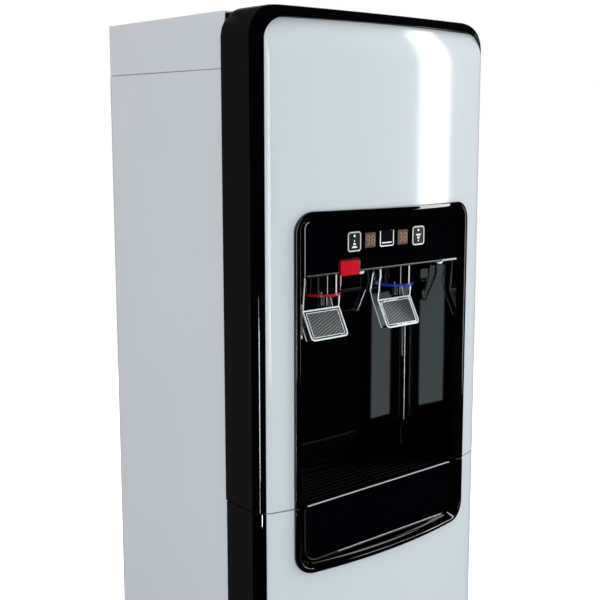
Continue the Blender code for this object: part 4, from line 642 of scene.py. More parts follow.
def feed(tree, node, **inputs):
    """Sets a node's inputs to values or links them to sockets; in their names _ stands for a space."""
    for name, value in inputs.items():
        socket = node.inputs[name.replace("_", " ")]
        if isinstance(value, bpy.types.NodeSocket):
            tree.links.new(value, socket)
        else:
            socket.default_value = value
    return node


def add_node(tree, kind, **inputs):
    return feed(tree, tree.nodes.new("ShaderNode" + kind), **inputs)


def new_material(name):
    look[name] = bpy.data.materials.new(name)
    look[name].use_nodes = True
    tree = look[name].node_tree
    return tree, tree.nodes["Principled BSDF"]


def object_noise(tree, scale, detail=2.0, stretch=(1.0, 1.0, 1.0)):
    where = add_node(tree, "TexCoord").outputs["Object"]
    mapping = add_node(tree, "Mapping", Scale=stretch, Vector=where)
    return add_node(tree, "TexNoise", Scale=scale, Detail=detail, Vector=mapping.outputs["Vector"]).outputs["Fac"]


def spread(tree, source, low, high):
    start, end = NOISE_RANGE
    node = add_node(tree, "MapRange", From_Min=start, From_Max=end, To_Min=low, To_Max=high, Value=source)
    return node.outputs["Result"]


def tint(tree, source, colour, change):
    """A colour that varies by the given share either way."""
    mix = tree.nodes.new("ShaderNodeMix")
    mix.data_type = "RGBA"
    less, more = ((*(channel * (1 + side * change) for channel in colour), 1.0) for side in (-1, 1))
    feed(tree, mix, A=less, B=more, Factor=spread(tree, source, 0.0, 1.0))
    return mix.outputs["Result"]


def bump(tree, source, strength, distance):
    return add_node(tree, "Bump", Strength=strength, Distance=distance, Height=source).outputs["Normal"]


def finish_of(name, colour, roughness, grain, depth=GRAIN_DEPTH, mottle=(9.0, 0.03), rough_change=0.15,
              stretch=(1.0, 1.0, 1.0), metallic=0.0, specular=0.5):
    """A finish with uneven colour, uneven roughness and a fine surface grain.

    Grain and mottle are (scale, strength).
    """
    tree, shader = new_material(name)
    paint = tint(tree, object_noise(tree, mottle[0], 4.0), colour, mottle[1])
    relief = bump(tree, object_noise(tree, grain[0], 3.0, stretch), grain[1], depth)
    patches = object_noise(tree, mottle[0] * PATCH_SCALE, 3.0)
    worn = spread(tree, patches, roughness * (1 - rough_change), roughness * (1 + rough_change))
    feed(tree, shader, Base_Color=paint, Normal=relief, Roughness=worn, Metallic=metallic,
         Specular_IOR_Level=specular)
    return shader


def clear_finish(name, colour, roughness, transmission=1.0, ior=1.49):
    """A clear plastic; less transmission gives it some milkiness."""
    tree, shader = new_material(name)
    cloud = tint(tree, object_noise(tree, 45.0, 3.0), colour, 0.03)
    smear = spread(tree, object_noise(tree, 60.0, 3.0), roughness * 0.6, roughness * 1.5)
    wave = bump(tree, object_noise(tree, 140.0, 1.0), 0.012, 0.0004)
    feed(tree, shader, Base_Color=cloud, Transmission_Weight=transmission, IOR=ior, Roughness=smear, Normal=wave)
    return shader


def glow_finish(name, colour, strength):
    """A faintly lit print, a little uneven in ink."""
    tree, shader = new_material(name)
    ink = tint(tree, object_noise(tree, 900.0, 2.0), colour, 0.06)
    feed(tree, shader, Base_Color=ink, Emission_Color=ink, Roughness=0.4, Emission_Strength=strength)


# Room and lights

def make_floor():
    shape = bmesh.new()
    bmesh.ops.create_grid(shape, x_segments=24, y_segments=24, size=2.6)
    floor = new_object("floor", shape)
    shader = finish_of("floor_paint", (0.80, 0.80, 0.80), 0.60, (900.0, 0.1), mottle=(3.0, 0.01))
    shader.inputs["Emission Color"].default_value = (1.0, 1.0, 1.0, 1.0)
    shader.inputs["Emission Strength"].default_value = 0.7
    floor.data.materials.append(look["floor_paint"])
    floor.visible_glossy = False
    floor.visible_diffuse = False


def make_world():
    """White behind the object, pale light on it and a dark room in what shines."""
    world = bpy.data.worlds.new("studio")
    bpy.context.scene.world = world
    world.use_nodes = True
    tree = world.node_tree
    ambient = feed(tree, tree.nodes["Background"], Color=(0.93, 0.96, 1.0, 1.0), Strength=0.62)
    backdrop = add_node(tree, "Background", Color=(1.0, 1.0, 1.0, 1.0), Strength=1.0)
    dark = add_node(tree, "Background", Color=(0.05, 0.05, 0.06, 1.0), Strength=0.12)
    rays = tree.nodes.new("ShaderNodeLightPath").outputs
    shown = ambient
    for kind, instead in (("Is Glossy Ray", dark), ("Is Camera Ray", backdrop)):
        mix = add_node(tree, "MixShader", Fac=rays[kind])
        tree.links.new(shown.outputs[0], mix.inputs[1])
        tree.links.new(instead.outputs[0], mix.inputs[2])
        shown = mix
    tree.links.new(shown.outputs["Shader"], tree.nodes["World Output"].inputs["Surface"])


def add_light(name, place_at, aim, size, power, colour=(1.0, 1.0, 1.0), diffuse=True, glossy=True):
    data = bpy.data.lights.new(name, "AREA")
    data.shape = "RECTANGLE"
    data.size, data.size_y = size
    data.energy = power
    data.color = colour
    light = bpy.data.objects.new(name, data)
    bpy.context.scene.collection.objects.link(light)
    light.location = place_at
    light.rotation_mode = "QUATERNION"
    light.rotation_quaternion = (Vector(aim) - Vector(place_at)).to_track_quat("-Z", "Y")
    light.visible_camera = False
    light.visible_diffuse = diffuse
    light.visible_glossy = glossy


# Front surround, panels and door

def band_profile(rear):
    """The surround's section from its rear corner round the front to the flange."""
    profile = [(0.0, rear, 0.0)]
    for share, turn, level in smooth_line(BAND_POINTS, BAND_STEPS):
        side, end = (FRAME_SHOULDER * (1 - value) + FRAME_STEP * value for value in (turn, level))
        profile.append((share, side, turn, end))
    return profile + [(1.0, FRAME_LIP, 1.0), (FRAME_WALL_SHARE, FRAME_SHOULDER + FRAME_FLANGE, 0.0)]


def build_arch(name, looks, body, node, outer, inner, profile, bevel, second=()):
    """A surround between (half width, far end, radius) arches, above the split or for the door below it."""
    split = BELOW_SPLIT if body == "door" else ABOVE_SPLIT
    lines = (arch(half, split, far, radius) for half, far, radius in (outer, inner))
    add_piece(name, surround(*lines, profile, second), looks, body, (node,), bevel)


def build_frames():
    looks = ("frame_satin", "gloss_black")
    profile = band_profile(FRAME_REAR)
    glossy = range(1, len(profile) - 2)
    outer_share, inner_share = FRAME_TONGUE_SHARES
    tongue_end = FRAME_REAR + FRAME_TONGUE
    flange = FRAME_REAR - FRAME_FLANGE
    profile += [(FRAME_WALL_SHARE, flange, 0.0), (inner_share, flange, 0.0), (inner_share, tongue_end, 0.0),
                (outer_share, tongue_end, 0.0), (outer_share, FRAME_REAR, 0.0)]
    half = HALF - FRAME_SIDE_BAND
    build_arch("upper_surround", looks, "cabinet", "upper_frame", (HALF, HEIGHT, FRAME_RADIUS),
               (half, HEIGHT - FRAME_TOP_BAND, FRAME_INNER_RADIUS), profile, EDGE_SMALL, glossy)
    flange = DOOR_REAR - FRAME_FLANGE
    tail = [(FRAME_WALL_SHARE, flange, 0.0), (DOOR_FLANGE_SHARE, flange, 0.0), (DOOR_FLANGE_SHARE, DOOR_REAR, 0.0)]
    inner = (half, DOOR_BOTTOM + FRAME_TOP_BAND, DOOR_INNER_RADIUS)
    build_arch("door_surround", looks, "door", "door_frame", (HALF, DOOR_BOTTOM, DOOR_RADIUS), inner,
               band_profile(DOOR_REAR) + tail, EDGE_SMALL, glossy)


def roll_edges(panel, top=None):
    """Lets the side edges of a panel, and its upper edge if given, lean back in a soft curve."""
    edge = max(vert.co.x for vert in panel.data.vertices)
    shape = bmesh.new()
    shape.from_mesh(panel.data)
    cuts = [((side * (edge - SIDE_ROLL * step / ROLL_STEPS), 0, 0), (1, 0, 0))
            for side in (-1, 1) for step in range(1, ROLL_STEPS + 1)]
    if top:
        cuts += [((0, 0, top - ROLL_HEIGHT * step / ROLL_STEPS), (0, 0, 1)) for step in range(1, ROLL_STEPS + 1)]
    for where, across in cuts:
        geometry = shape.verts[:] + shape.edges[:] + shape.faces[:]
        bmesh.ops.bisect_plane(shape, geom=geometry, plane_co=where, plane_no=across)
    for vert in shape.verts:
        shift = SIDE_ROLL_DEPTH * max(0.0, 1 - (edge - abs(vert.co.x)) / SIDE_ROLL) ** 2
        if top:
            shift = max(shift, ROLL_DEPTH * max(0.0, 1 - (top - vert.co.z) / ROLL_HEIGHT) ** 2)
        limit = bow(vert.co.x) + Y_SHIFT + FRAME_LIP - GAP
        vert.co.y = min(vert.co.y + shift, max(limit, vert.co.y))
    shape.to_mesh(panel.data)
    shape.free()
    shade(panel.data)


def build_panel(name, node, body, outline, notch, top=None):
    """A bowed white plate cut to an outline, with a notch for the rim."""
    low, high = (end(z for x, z in outline) for end in (min, max))
    half = max(x for x, z in outline) + GAP
    plate = prism(bowed_outline(half, 0.0, PANEL_THICKNESS), "z", low - OVERRUN, high + OVERRUN)
    panel = add_piece(name, plate, "panel_white", body, (node,))
    carve(panel, prism(outline, "y", -OVERRUN, FRAME_REAR), "INTERSECT")
    carve(panel, prism(notch, "y", -OVERRUN, FRAME_REAR))
    roll_edges(panel, top)
    round_edges(panel, EDGE_SOFT)


def build_panels():
    half = HALF - FRAME_SIDE_BAND - GAP
    high = HEIGHT - FRAME_TOP_BAND - GAP
    neck_half = RIM_HALF - (RIM_HALF - BAY_HALF) * RIM_NECK_SHARE + NECK_GAP
    neck_top = RIM_TOP - RIM_TOP_BAND * RIM_NECK_SHARE + NECK_GAP
    build_panel("upper_front", "upper_panel", "cabinet", arch(half, ABOVE_SPLIT, high, FRAME_INNER_RADIUS - GAP),
                arch(neck_half, ABOVE_SPLIT - OVERRUN, neck_top, RIM_RADIUS / 2), high)
    low = DOOR_BOTTOM + FRAME_TOP_BAND + GAP
    notch_half = RIM_HALF - (RIM_HALF - INSET_INNER_HALF) * RIM_NECK_SHARE + NECK_GAP
    notch_low = INSET_BOTTOM + INSET_BOTTOM_BAND * RIM_NECK_SHARE - NECK_GAP
    build_panel("door_front", "door_panel", "door", arch(half, BELOW_SPLIT, low, DOOR_INNER_RADIUS - GAP),
                arch(notch_half, BELOW_SPLIT + OVERRUN, notch_low, RIM_RADIUS / 2))


def rim_profile(end):
    """The rim's section, whose rise changes from the sides to the bottom (end 1) or the top (end 2)."""
    profile = []
    for share, *rises in smooth_line(RIM_POINTS, RIM_STEPS):
        side, other = (-GAP - (RIM_PROUD - GAP) * rises[index] for index in (0, end))
        profile.append((share, side, 1.0, other))
    if end == 2:
        profile.append((1.0, RIM_NECK_DEPTH - RIM_TOP_LEDGE, 1.0, RIM_TOP_END))
    return profile + [(1.0, RIM_NECK_DEPTH, 1.0)]


def build_rims():
    neck = [(RIM_NECK_SHARE, RIM_NECK_DEPTH, 1.0), (RIM_NECK_SHARE, -GAP, 1.0)]
    wall = [(1.0, INSET_BACK, 0.0), (INSET_WALL_SHARE, INSET_BACK, 0.0), (INSET_WALL_SHARE, RIM_NECK_DEPTH, 1.0)]
    inner = (INSET_INNER_HALF, INSET_BOTTOM + INSET_BOTTOM_BAND, INSET_INNER_RADIUS)
    build_arch("lower_rim", "gloss_black", "door", "door_inset", (RIM_HALF, INSET_BOTTOM, RIM_RADIUS), inner,
               rim_profile(1) + wall + neck, EDGE_FINE)
    build_arch("upper_rim", "gloss_black", "cabinet", "dispensing_bay", (RIM_HALF, RIM_TOP, RIM_RADIUS),
               (BAY_HALF, RIM_INNER_TOP, RIM_INNER_RADIUS), rim_profile(2) + neck, EDGE_FINE)


# Dispensing bay

def build_bay():
    outer_half = BAY_HALF + BAY_WALL
    back = BAY_BACK + BAY_WALL
    plan = bowed_outline(outer_half, RIM_NECK_DEPTH, back, BAY_RADIUS + BAY_WALL)
    bay = add_piece("bay_shell", prism(plan, "z", ABOVE_SPLIT, RIM_INNER_TOP + BAY_WALL), "gloss_black", "cabinet",
                    ("dispensing_bay",))
    hollow = plan_outline(BAY_HALF, -OVERRUN, BAY_BACK, BAY_RADIUS)
    ceiling = FASCIA_BOTTOM + BAY_CEILING
    hollows = prism(hollow, "z", ABOVE_SPLIT - OVERRUN, FASCIA_BOTTOM)
    carve(bay, prism(hollow, "z", ceiling, RIM_INNER_TOP, hollows))
    openings = block(around(0, BAY_HALF), (-OVERRUN, BAY_CEILING_FRONT),
                     (FASCIA_BOTTOM - OVERRUN, ceiling + BAY_CEILING))
    drill = (FASCIA_BOTTOM - BAY_CEILING, ceiling + BAY_CEILING)
    for x in (-TAP_X, TAP_X):
        rod("z", (x, TAP_Y), TAP_RADIUS + TAP_CLEARANCE, *drill, sides=HOLE_SIDES, shape=openings)
        for side in (-1, 1):
            ends = (LEVER_HALF - LEVER_PLATE - LEVER_SLOT_GAP, LEVER_HALF + LEVER_SLOT_GAP)
            block(sorted(x + side * end for end in ends), LEVER_SLOT, drill, openings)
        rod("y", (x, STEM_Z), STEM_RADIUS + STEM_CLEARANCE, BAY_BACK - BAY_WALL, back + OVERRUN, shape=openings)
    carve(bay, openings)
    carve(bay, block(around(0, outer_half), (WELL_FRONT, back),
                     (WELL_FLOOR_TOP - WELL_FLOOR, ABOVE_SPLIT + WELL_LEDGE)), "UNION")
    carve(bay, block(around(0, WELL_HALF), (-OVERRUN, WELL_BACK), (WELL_FLOOR_TOP, ABOVE_SPLIT + OVERRUN)))
    round_edges(bay, EDGE_SMALL)


# Fascia, keys, windows and latch

def key_outline(x, grow):
    return rounded_rect(*around(x, KEY_WIDTH / 2 + grow), *around(ROW_Z, KEY_HEIGHT / 2 + grow), KEY_RADIUS + grow)


def window(x, width, height, depth, grow=0.0, shape=None):
    """The box of a window in the fascia, or of the opening round it."""
    return block(span(x, width, grow), depth, span(ROW_Z, height, grow), shape)


def build_fascia():
    half = BAY_HALF - FASCIA_EDGE_GAP
    top = RIM_INNER_TOP - FASCIA_EDGE_GAP
    latch_half = LATCH_WIDTH / 2 + GAP
    outline = rounded_rect(-half, half, FASCIA_BOTTOM, top, FASCIA_LIP_HEIGHT, FASCIA_RADIUS)
    fascia = add_piece("fascia_plate", prism(outline, "y", FASCIA_FRONT, FASCIA_BACK), "gloss_black", "cabinet",
                       ("fascia",))
    carve(fascia, block(around(0, half - FASCIA_RADIUS),
                        (FASCIA_BACK - FASCIA_THICKNESS / 2, FASCIA_BACK + FASCIA_LIP),
                        (FASCIA_BOTTOM + GAP, FASCIA_BOTTOM + FASCIA_LIP_HEIGHT)), "UNION")
    openings = bmesh.new()
    through = (FASCIA_FRONT - OVERRUN, FASCIA_BACK + GAP)
    for x in (-KEY_X, KEY_X):
        prism(key_outline(x, GAP), "y", *through, openings)
    for x in (-DISPLAY_X, DISPLAY_X):
        window(x, DISPLAY_WIDTH, DISPLAY_HEIGHT, through, GAP, openings)
    window(0.0, INDICATOR_WIDTH, INDICATOR_HEIGHT, through, GAP, openings)
    block(around(LATCH_X, latch_half), (FASCIA_FRONT - OVERRUN, FASCIA_BACK + FASCIA_LIP + GAP),
          (FASCIA_BOTTOM - OVERRUN, LATCH_TOP + GAP), openings)
    carve(fascia, openings)
    round_edges(fascia, FASCIA_EDGE, 4)
    # Beads along its lower and left edges and round the latch; the left one and a short piece at the right end of
    # the lower one are light grey, a painted highlight
    lines = bmesh.new()
    line_z = FASCIA_BOTTOM + LINE_BEAD
    for ends in ((-half + LINE_INSET, LATCH_X - latch_half - LINE_LATCH_GAP),
                 (LATCH_X + latch_half + LINE_LATCH_GAP, half - LINE_INSET)):
        bead([(x, line_z) for x in ends], FASCIA_FRONT + LINE_BACK, LINE_BEAD, LINE_SIDES, lines)
    add_piece("fascia_bead", lines, "lip_black", "cabinet", bevel=LINE_EDGE)
    side = [(-half + SIDE_BEAD_INSET, FASCIA_BOTTOM + SIDE_BEAD_START)]
    side += arc((-half + FASCIA_RADIUS, top - FASCIA_RADIUS), FASCIA_RADIUS - SIDE_BEAD_INSET, 180, 100)
    add_piece("fascia_side_painted_highlight", bead(side, FASCIA_FRONT, SIDE_BEAD, SIDE_BEAD_SIDES), "bright_lip", "cabinet")
    # A short light grey bead near the right end of the lower line: a painted highlight
    shine = [(half - inset, line_z) for inset in (SHINE_REACH, SHINE_INSET)]
    shine = bead(shine, FASCIA_FRONT - SHINE_PROUD, LINE_BEAD, DIM_SIDES)
    add_piece("fascia_corner_painted_highlight", shine, "bright_lip", "cabinet")
    reach = latch_half + TRIM_GAP
    corner = (reach - TRIM_RADIUS, TRIM_GAP - TRIM_RADIUS)
    track = [(LATCH_X + reach, FASCIA_BOTTOM + TRIM_FOOT)]
    track += [(LATCH_X + u, LATCH_TOP + v) for u, v in arc(corner, TRIM_RADIUS, 0, 90, SMALL_STEPS)]
    track += [(LATCH_X - u, LATCH_TOP + v) for u, v in arc(corner, TRIM_RADIUS, 90, 0, SMALL_STEPS)]
    track.append((LATCH_X - reach, FASCIA_BOTTOM + TRIM_FOOT))
    add_piece("latch_notch_trim", bead(track, FASCIA_FRONT, TRIM_BEAD, THIN_SIDES), "lip_black", "cabinet")
    # Bumper domes under the fascia in milky plastic, with a painted glow for their light half-moon highlights
    dome = [(0.0, FASCIA_BOTTOM - BUMPER_DROP)]
    dome += [(BUMPER_RADIUS * u, FASCIA_BOTTOM - BUMPER_DROP * v) for u, v in arc((0, 0), 1.0, 75, 0, SMALL_STEPS)]
    dome += [(BUMPER_RADIUS, FASCIA_BOTTOM + BUMPER_SEAT), (0.0, FASCIA_BOTTOM + BUMPER_SEAT)]
    for name, x in BUMPERS:
        bumper = turned(dome, (x, FASCIA_FRONT + BUMPER_BACK), sides=BUMPER_SIDES)
        add_piece("bumper_" + name, bumper, "milky_edge", "cabinet")


def digit_bars(number, x, shape):
    for key in DIGITS[number]:
        across, up, flat = SEGMENTS[key]
        centre_x = x + across * DIGIT_HALF_WIDTH
        centre_z = ROW_Z + up * DIGIT_HALF_HEIGHT
        long_half = (DIGIT_HALF_WIDTH if flat else DIGIT_HALF_HEIGHT / 2) - DIGIT_LINE * DIGIT_TRIM
        reach_x, reach_z = (long_half, DIGIT_LINE / 2) if flat else (DIGIT_LINE / 2, long_half)
        block(around(centre_x, reach_x), WINDOW_PRINT, around(centre_z, reach_z), shape)


def cup_line(inset):
    """An open cup, from its left edge round to the right one."""
    low, high = ROW_Z - CUP_REACH, ROW_Z + CUP_REACH
    line = [(-CUP_HALF + inset, high)]
    line += arc((-CUP_HALF + CUP_RADIUS, low + CUP_RADIUS), CUP_RADIUS - inset, 180, 270, SMALL_STEPS)
    line += arc((CUP_HALF - CUP_RADIUS, low + CUP_RADIUS), CUP_RADIUS - inset, 270, 360, SMALL_STEPS)
    return line + [(CUP_HALF - inset, high)]


def build_windows():
    depth = (WINDOW_FRONT, WINDOW_BACK)
    for name, x, numbers in (("hot_display", -DISPLAY_X, (9, 8)), ("cold_display", DISPLAY_X, (3, 8))):
        glass = window(x, DISPLAY_WIDTH, DISPLAY_HEIGHT, depth)
        add_piece(name + "_glass", glass, "display_amber", "cabinet", (name,), EDGE_FINE)
        bars = bmesh.new()
        for side, number in zip((-1, 1), numbers):
            digit_bars(number, x + side * DIGIT_OFFSET, bars)
        add_piece(name + "_digits", bars, "display_digit", "cabinet")
    glass = window(0.0, INDICATOR_WIDTH, INDICATOR_HEIGHT, depth)
    add_piece("indicator_glass", glass, "smoked_window", "cabinet", ("water_indicator",), EDGE_FINE)
    mark = prism(cup_line(0.0) + cup_line(CUP_LINE)[::-1], "y", *WINDOW_PRINT)
    block(around(0, CUP_BAR_HALF), WINDOW_PRINT, CUP_BAR, mark)
    add_piece("indicator_print", mark, "print_white", "cabinet")


def build_keys():
    for body, (x, widths, foot_share, top_share) in KEY_MARKS.items():
        cap = prism(key_outline(x, 0.0), "y", KEY_FRONT, KEY_FRONT + KEY_BODY + KEY_SINK)
        add_piece(body + "_cap", cap, "key_face", body, (body,), EDGE_SMALL, 3)
        ring = ring_of(*(key_outline(x, grow) for grow in KEY_RING), KEY_PRINT, KEY_FRONT + KEY_RING_BACK)
        add_piece(body + "_edge", ring, "key_silver", body, bevel=KEY_RING_EDGE)
        lamp = [(radius, KEY_FRONT + setback) for radius, setback in KEY_LAMP]
        lamp = turned(lamp, (x, ROW_Z + KEY_LAMP_RISE), "y", KEY_LAMP_SIDES)
        add_piece(body + "_lamp", lamp, "lamp_white", body)
        marks = bmesh.new()
        for index, half_width in enumerate(widths):
            z = ROW_Z + MARK_TOP - MARK_PITCH * index
            foot, top = half_width * foot_share, half_width * top_share
            prism([(x - foot, z - MARK_HALF), (x + foot, z - MARK_HALF), (x + top, z + MARK_HALF),
                   (x - top, z + MARK_HALF)], "y", KEY_PRINT, KEY_FRONT + PRINT_SUNK, marks)
        add_piece(body + "_mark", marks, "print_white", body)


def build_latch():
    left, right = span(LATCH_X, LATCH_WIDTH)
    tab = prism(rounded_rect(left, right, LATCH_BOTTOM, LATCH_TOP, LATCH_RADIUS), "y", LATCH_FRONT,
                LATCH_FRONT + LATCH_THICKNESS)
    latch = add_piece("latch_tab", tab, "latch_red", "safety_latch", ("safety_latch",))
    carve(latch, block((left + GAP, right - GAP), (LATCH_FRONT + LATCH_THICKNESS / 2, LATCH_PIVOT[0]),
                       around(LATCH_PIVOT[1], LATCH_WEB)), "UNION")
    carve(latch, rod("x", LATCH_PIVOT, LATCH_EYE, left + 2 * GAP, right - 2 * GAP), "UNION")
    round_edges(latch, EDGE_SOFT, 3)


# Taps and levers

def build_tap(name, x, ring_look):
    profile = [(0, TAP_TOP), (TAP_RADIUS - TAP_ROUND, TAP_TOP)]
    profile += [(TAP_RADIUS - TAP_ROUND + u, TAP_TOP - TAP_ROUND + v)
                for u, v in arc((0, 0), TAP_ROUND, 90, 0, SMALL_STEPS)]
    profile += [(TAP_RADIUS, TAP_BOTTOM + TAP_CHAMFER), (TAP_RADIUS - TAP_CHAMFER, TAP_BOTTOM),
                (NOZZLE_RADIUS + NOZZLE_ROOT, TAP_BOTTOM), (NOZZLE_RADIUS, TAP_BOTTOM - NOZZLE_ROOT),
                (NOZZLE_RADIUS, NOZZLE_TIP + NOZZLE_CHAMFER), (NOZZLE_RADIUS - NOZZLE_CHAMFER, NOZZLE_TIP),
                (NOZZLE_BORE + NOZZLE_CHAMFER, NOZZLE_TIP), (NOZZLE_BORE, NOZZLE_TIP + NOZZLE_CHAMFER),
                (NOZZLE_BORE, TAP_BOTTOM + TAP_CHAMBER), (0, TAP_BOTTOM + TAP_CHAMBER)]
    tap = add_piece(name + "_tap_body", turned(profile, (x, TAP_Y), sides=TAP_SIDES), "gloss_black", "cabinet",
                    (name + "_tap",))
    carve(tap, rod("y", (x, STEM_Z), STEM_RADIUS, TAP_Y + STEM_START, STEM_END), "UNION")
    reach = LEVER_HALF + PIN_REACH
    carve(tap, rod("x", LEVER_PIVOT, PIN_RADIUS, *around(x, reach), PIN_SIDES), "UNION")
    middle = TAP_BOTTOM + RING_HEIGHT / 2
    section = [(TAP_RADIUS + GAP, middle - RING_HEIGHT / 2), (TAP_RADIUS + GAP, middle + RING_HEIGHT / 2)]
    section += [(TAP_RADIUS + GAP + (RING_PROUD - GAP) * u, middle + RING_HEIGHT / 2 * v)
                for u, v in arc((0, 0), 1.0, 80, -80, RING_STEPS)]
    band = turned(section, (x, TAP_Y), sides=TAP_SIDES, closed=True)
    add_piece(name + "_band", band, ring_look, "cabinet", (name + "_ring",))
    side = math.copysign(1, x)
    start, end = x + side * (TAP_RADIUS + 2 * GAP), x + side * (LEVER_HALF - LEVER_PLATE - 2 * GAP)
    coil = []
    y, z = LEVER_PIVOT
    for step in range(SPRING_TURNS * SPRING_STEPS + 1):
        angle = 2 * math.pi * step / SPRING_STEPS
        along = start + (end - start) * step / (SPRING_TURNS * SPRING_STEPS)
        coil.append((along, y + SPRING_RADIUS * math.cos(angle), z + SPRING_RADIUS * math.sin(angle)))
    add_piece(name + "_spring", pipe(coil, SPRING_WIRE, THIN_SIDES), "zinc_steel", "cabinet",
              (name + "_lever_spring",))


def frame_line(half, top, foot, radius):
    """Points (along, across) down one side of a paddle, round its two lower corners and up the other."""
    corner = arc((foot - radius, half - radius), radius, 90, 0, PADDLE_STEPS)
    return [(top, half)] + corner + [(along, -across) for along, across in reversed(corner)] + [(top, -half)]


def build_lever(name, x):
    body = name + "_lever"
    pivot_y, pivot_z = LEVER_PIVOT
    foot, top = Vector(LEVER_SIDE[4]), Vector(LEVER_SIDE[5])
    slope = (foot - top).normalized()
    out = -Vector((-slope.y, slope.x))
    length = (foot - top).length

    def on_face(along, across, height=0.0):
        """A point of the paddle's front, counted down from its upper end."""
        point = top + slope * along + out * height
        return Vector((x + across, point.x, point.y))

    def slab(corners, low, high, shape=None):
        return extrude(*([on_face(*corner, height) for corner in corners] for height in (low, high)), shape)

    outline = list(LEVER_SIDE) + arc(LEVER_PIVOT, LEVER_EYE_RADIUS, 180, 0)
    lever = add_piece(name + "_paddle", prism(outline, "x", *around(x, LEVER_HALF)), "clear_plastic", body,
                      (body,))
    rear = Vector((-slope.y, slope.x)) * LEVER_PADDLE
    below = foot + rear + slope * PADDLE_BEYOND
    (near, far), high = around(pivot_y, LEVER_BEYOND), pivot_z + LEVER_BEYOND
    inside = [(near, high), (far, high), (far, below.y), tuple(below), tuple(top + rear), (near, top.y)]
    carve(lever, prism(inside, "x", *around(x, LEVER_HALF - LEVER_PLATE)))
    bore = span(x, 2 * LEVER_HALF, BORE_BEYOND)
    carve(lever, rod("x", LEVER_PIVOT, LEVER_BORE, *bore, PIN_SIDES))
    carve(lever, slab(frame_line(LEVER_HALF, -LEVER_BEYOND, length, LEVER_CORNER), *PADDLE_CUT), "INTERSECT")
    # Shallow window in the paddle's face, with slanting ribs standing in it
    half = LEVER_HALF - PADDLE_EDGE - PADDLE_WINDOW_INSET
    start, end = PADDLE_EDGE, length - PADDLE_EDGE
    carve(lever, slab(frame_line(half, start, end, PADDLE_WINDOW_RADIUS), -PADDLE_DEEP, PADDLE_OPEN))
    round_edges(lever, EDGE_SMALL, 3)
    ribs = bmesh.new()
    for slope_share, thick, rib_top in RIB_SETS:
        rise = slope_share * half
        centre = start - abs(rise)
        while centre < end + abs(rise):
            rib = [(centre - thick / 2 + rise, -half), (centre - thick / 2 - rise, half),
                   (centre + thick / 2 - rise, half), (centre + thick / 2 + rise, -half)]
            rib = clipped(clipped(rib, 0, start, False), 0, end, True)
            if len(rib) > 2:
                slab(rib, RIB_ROOT, rib_top, ribs)
            centre += RIB_PITCH
    add_piece(name + "_ribs", ribs, "rib_plastic", body)
    bed = slab(frame_line(half - GAP, start + GAP, end - GAP, PADDLE_WINDOW_RADIUS), -PADDLE_DEEP,
               -PADDLE_DEEP + BED_THICKNESS)
    add_piece(name + "_ribs_bed", bed, "bed_plastic", body)
    # Milky beads with a painted glow along the rounded edges, standing for their thin bright highlights
    beads = bmesh.new()
    rim = LEVER_HALF - LEVER_BEAD_INSET
    for across, inset, radius, thick in ((rim, LEVER_BEAD_INSET, LEVER_BEAD_RADIUS, LEVER_BEAD),
                                         (half, PADDLE_EDGE, PADDLE_WINDOW_RADIUS, LEVER_WINDOW_BEAD)):
        line = [on_face(*point) for point in frame_line(across, inset, length - inset, radius)]
        pipe(line, thick, THIN_SIDES, beads)
        pipe([line[-1], line[0]], thick, THIN_SIDES, beads)
    for side in (-1, 1):
        for track in (LEVER_SIDE[3::-1], [*LEVER_SIDE[5:], (pivot_y - LEVER_EYE_RADIUS, pivot_z)]):
            pipe([(x + side * rim, y, z) for y, z in track], LEVER_SIDE_BEAD, THIN_SIDES, beads)
    add_piece(name + "_edges", beads, "milky_edge", body)


# Drip tray and grille

def build_tray():
    plate_back = TRAY_FRONT + TRAY_PLATE
    plate = rounded_rect(-TRAY_FRONT_HALF, TRAY_FRONT_HALF, TRAY_FRONT_BOTTOM, TRAY_FRONT_TOP, TRAY_FRONT_RADIUS,
                         TRAY_FRONT_TOP_RADIUS)
    tray = add_piece("tray", prism(plate, "y", TRAY_FRONT, plate_back), "gloss_black", "drip_tray", ("drip_tray",))
    floor = WELL_FLOOR_TOP + GAP
    tub = plan_outline(TRAY_HALF, TRAY_FRONT + TRAY_PLATE / 2, TRAY_BACK, TRAY_CORNER)
    carve(tray, prism(tub, "z", floor, TRAY_RIM), "UNION")
    inside = plan_outline(TRAY_HALF - TRAY_WALL, plate_back + GAP, TRAY_BACK - TRAY_WALL, TRAY_CORNER - TRAY_WALL)
    carve(tray, prism(inside, "z", floor + TRAY_WALL, TRAY_RIM + OVERRUN))
    round_edges(tray, EDGE_SOFT, 3)
    # Beads along the edges: light grey ones along the top and the lower edge, a painted highlight, and a black one
    # down the left side
    reach = TRAY_FRONT_HALF - TRAY_FRONT_TOP_RADIUS
    along = TRAY_FRONT + TRAY_BEAD / 2
    low_z, high_z = TRAY_FRONT_BOTTOM - TRAY_BEAD / 2, TRAY_FRONT_TOP - TRAY_BEAD / 2
    line = bead([(-reach, high_z), (reach, high_z)], along, TRAY_BEAD, LINE_SIDES)
    low_line = [(TRAY_BEAD_START, low_z), (TRAY_FRONT_HALF - TRAY_FRONT_RADIUS, low_z)]
    bead(low_line, along, TRAY_BEAD, LINE_SIDES, line)
    add_piece("tray_edge_painted_highlight", line, "bright_lip", "drip_tray", bevel=EDGE_FINE)
    edge_x = TRAY_FRONT_HALF + TRAY_BEAD / 2
    corner = TRAY_FRONT_RADIUS + TRAY_BEAD / 2
    side = [(-edge_x, TRAY_FRONT_TOP - TRAY_FRONT_TOP_RADIUS)]
    side += arc((-edge_x + corner, low_z + corner), corner, 180, 270) + [(TRAY_BEAD_START, low_z)]
    add_piece("tray_side_bead", bead(side, along, TRAY_BEAD, DIM_SIDES), "lip_black", "drip_tray")


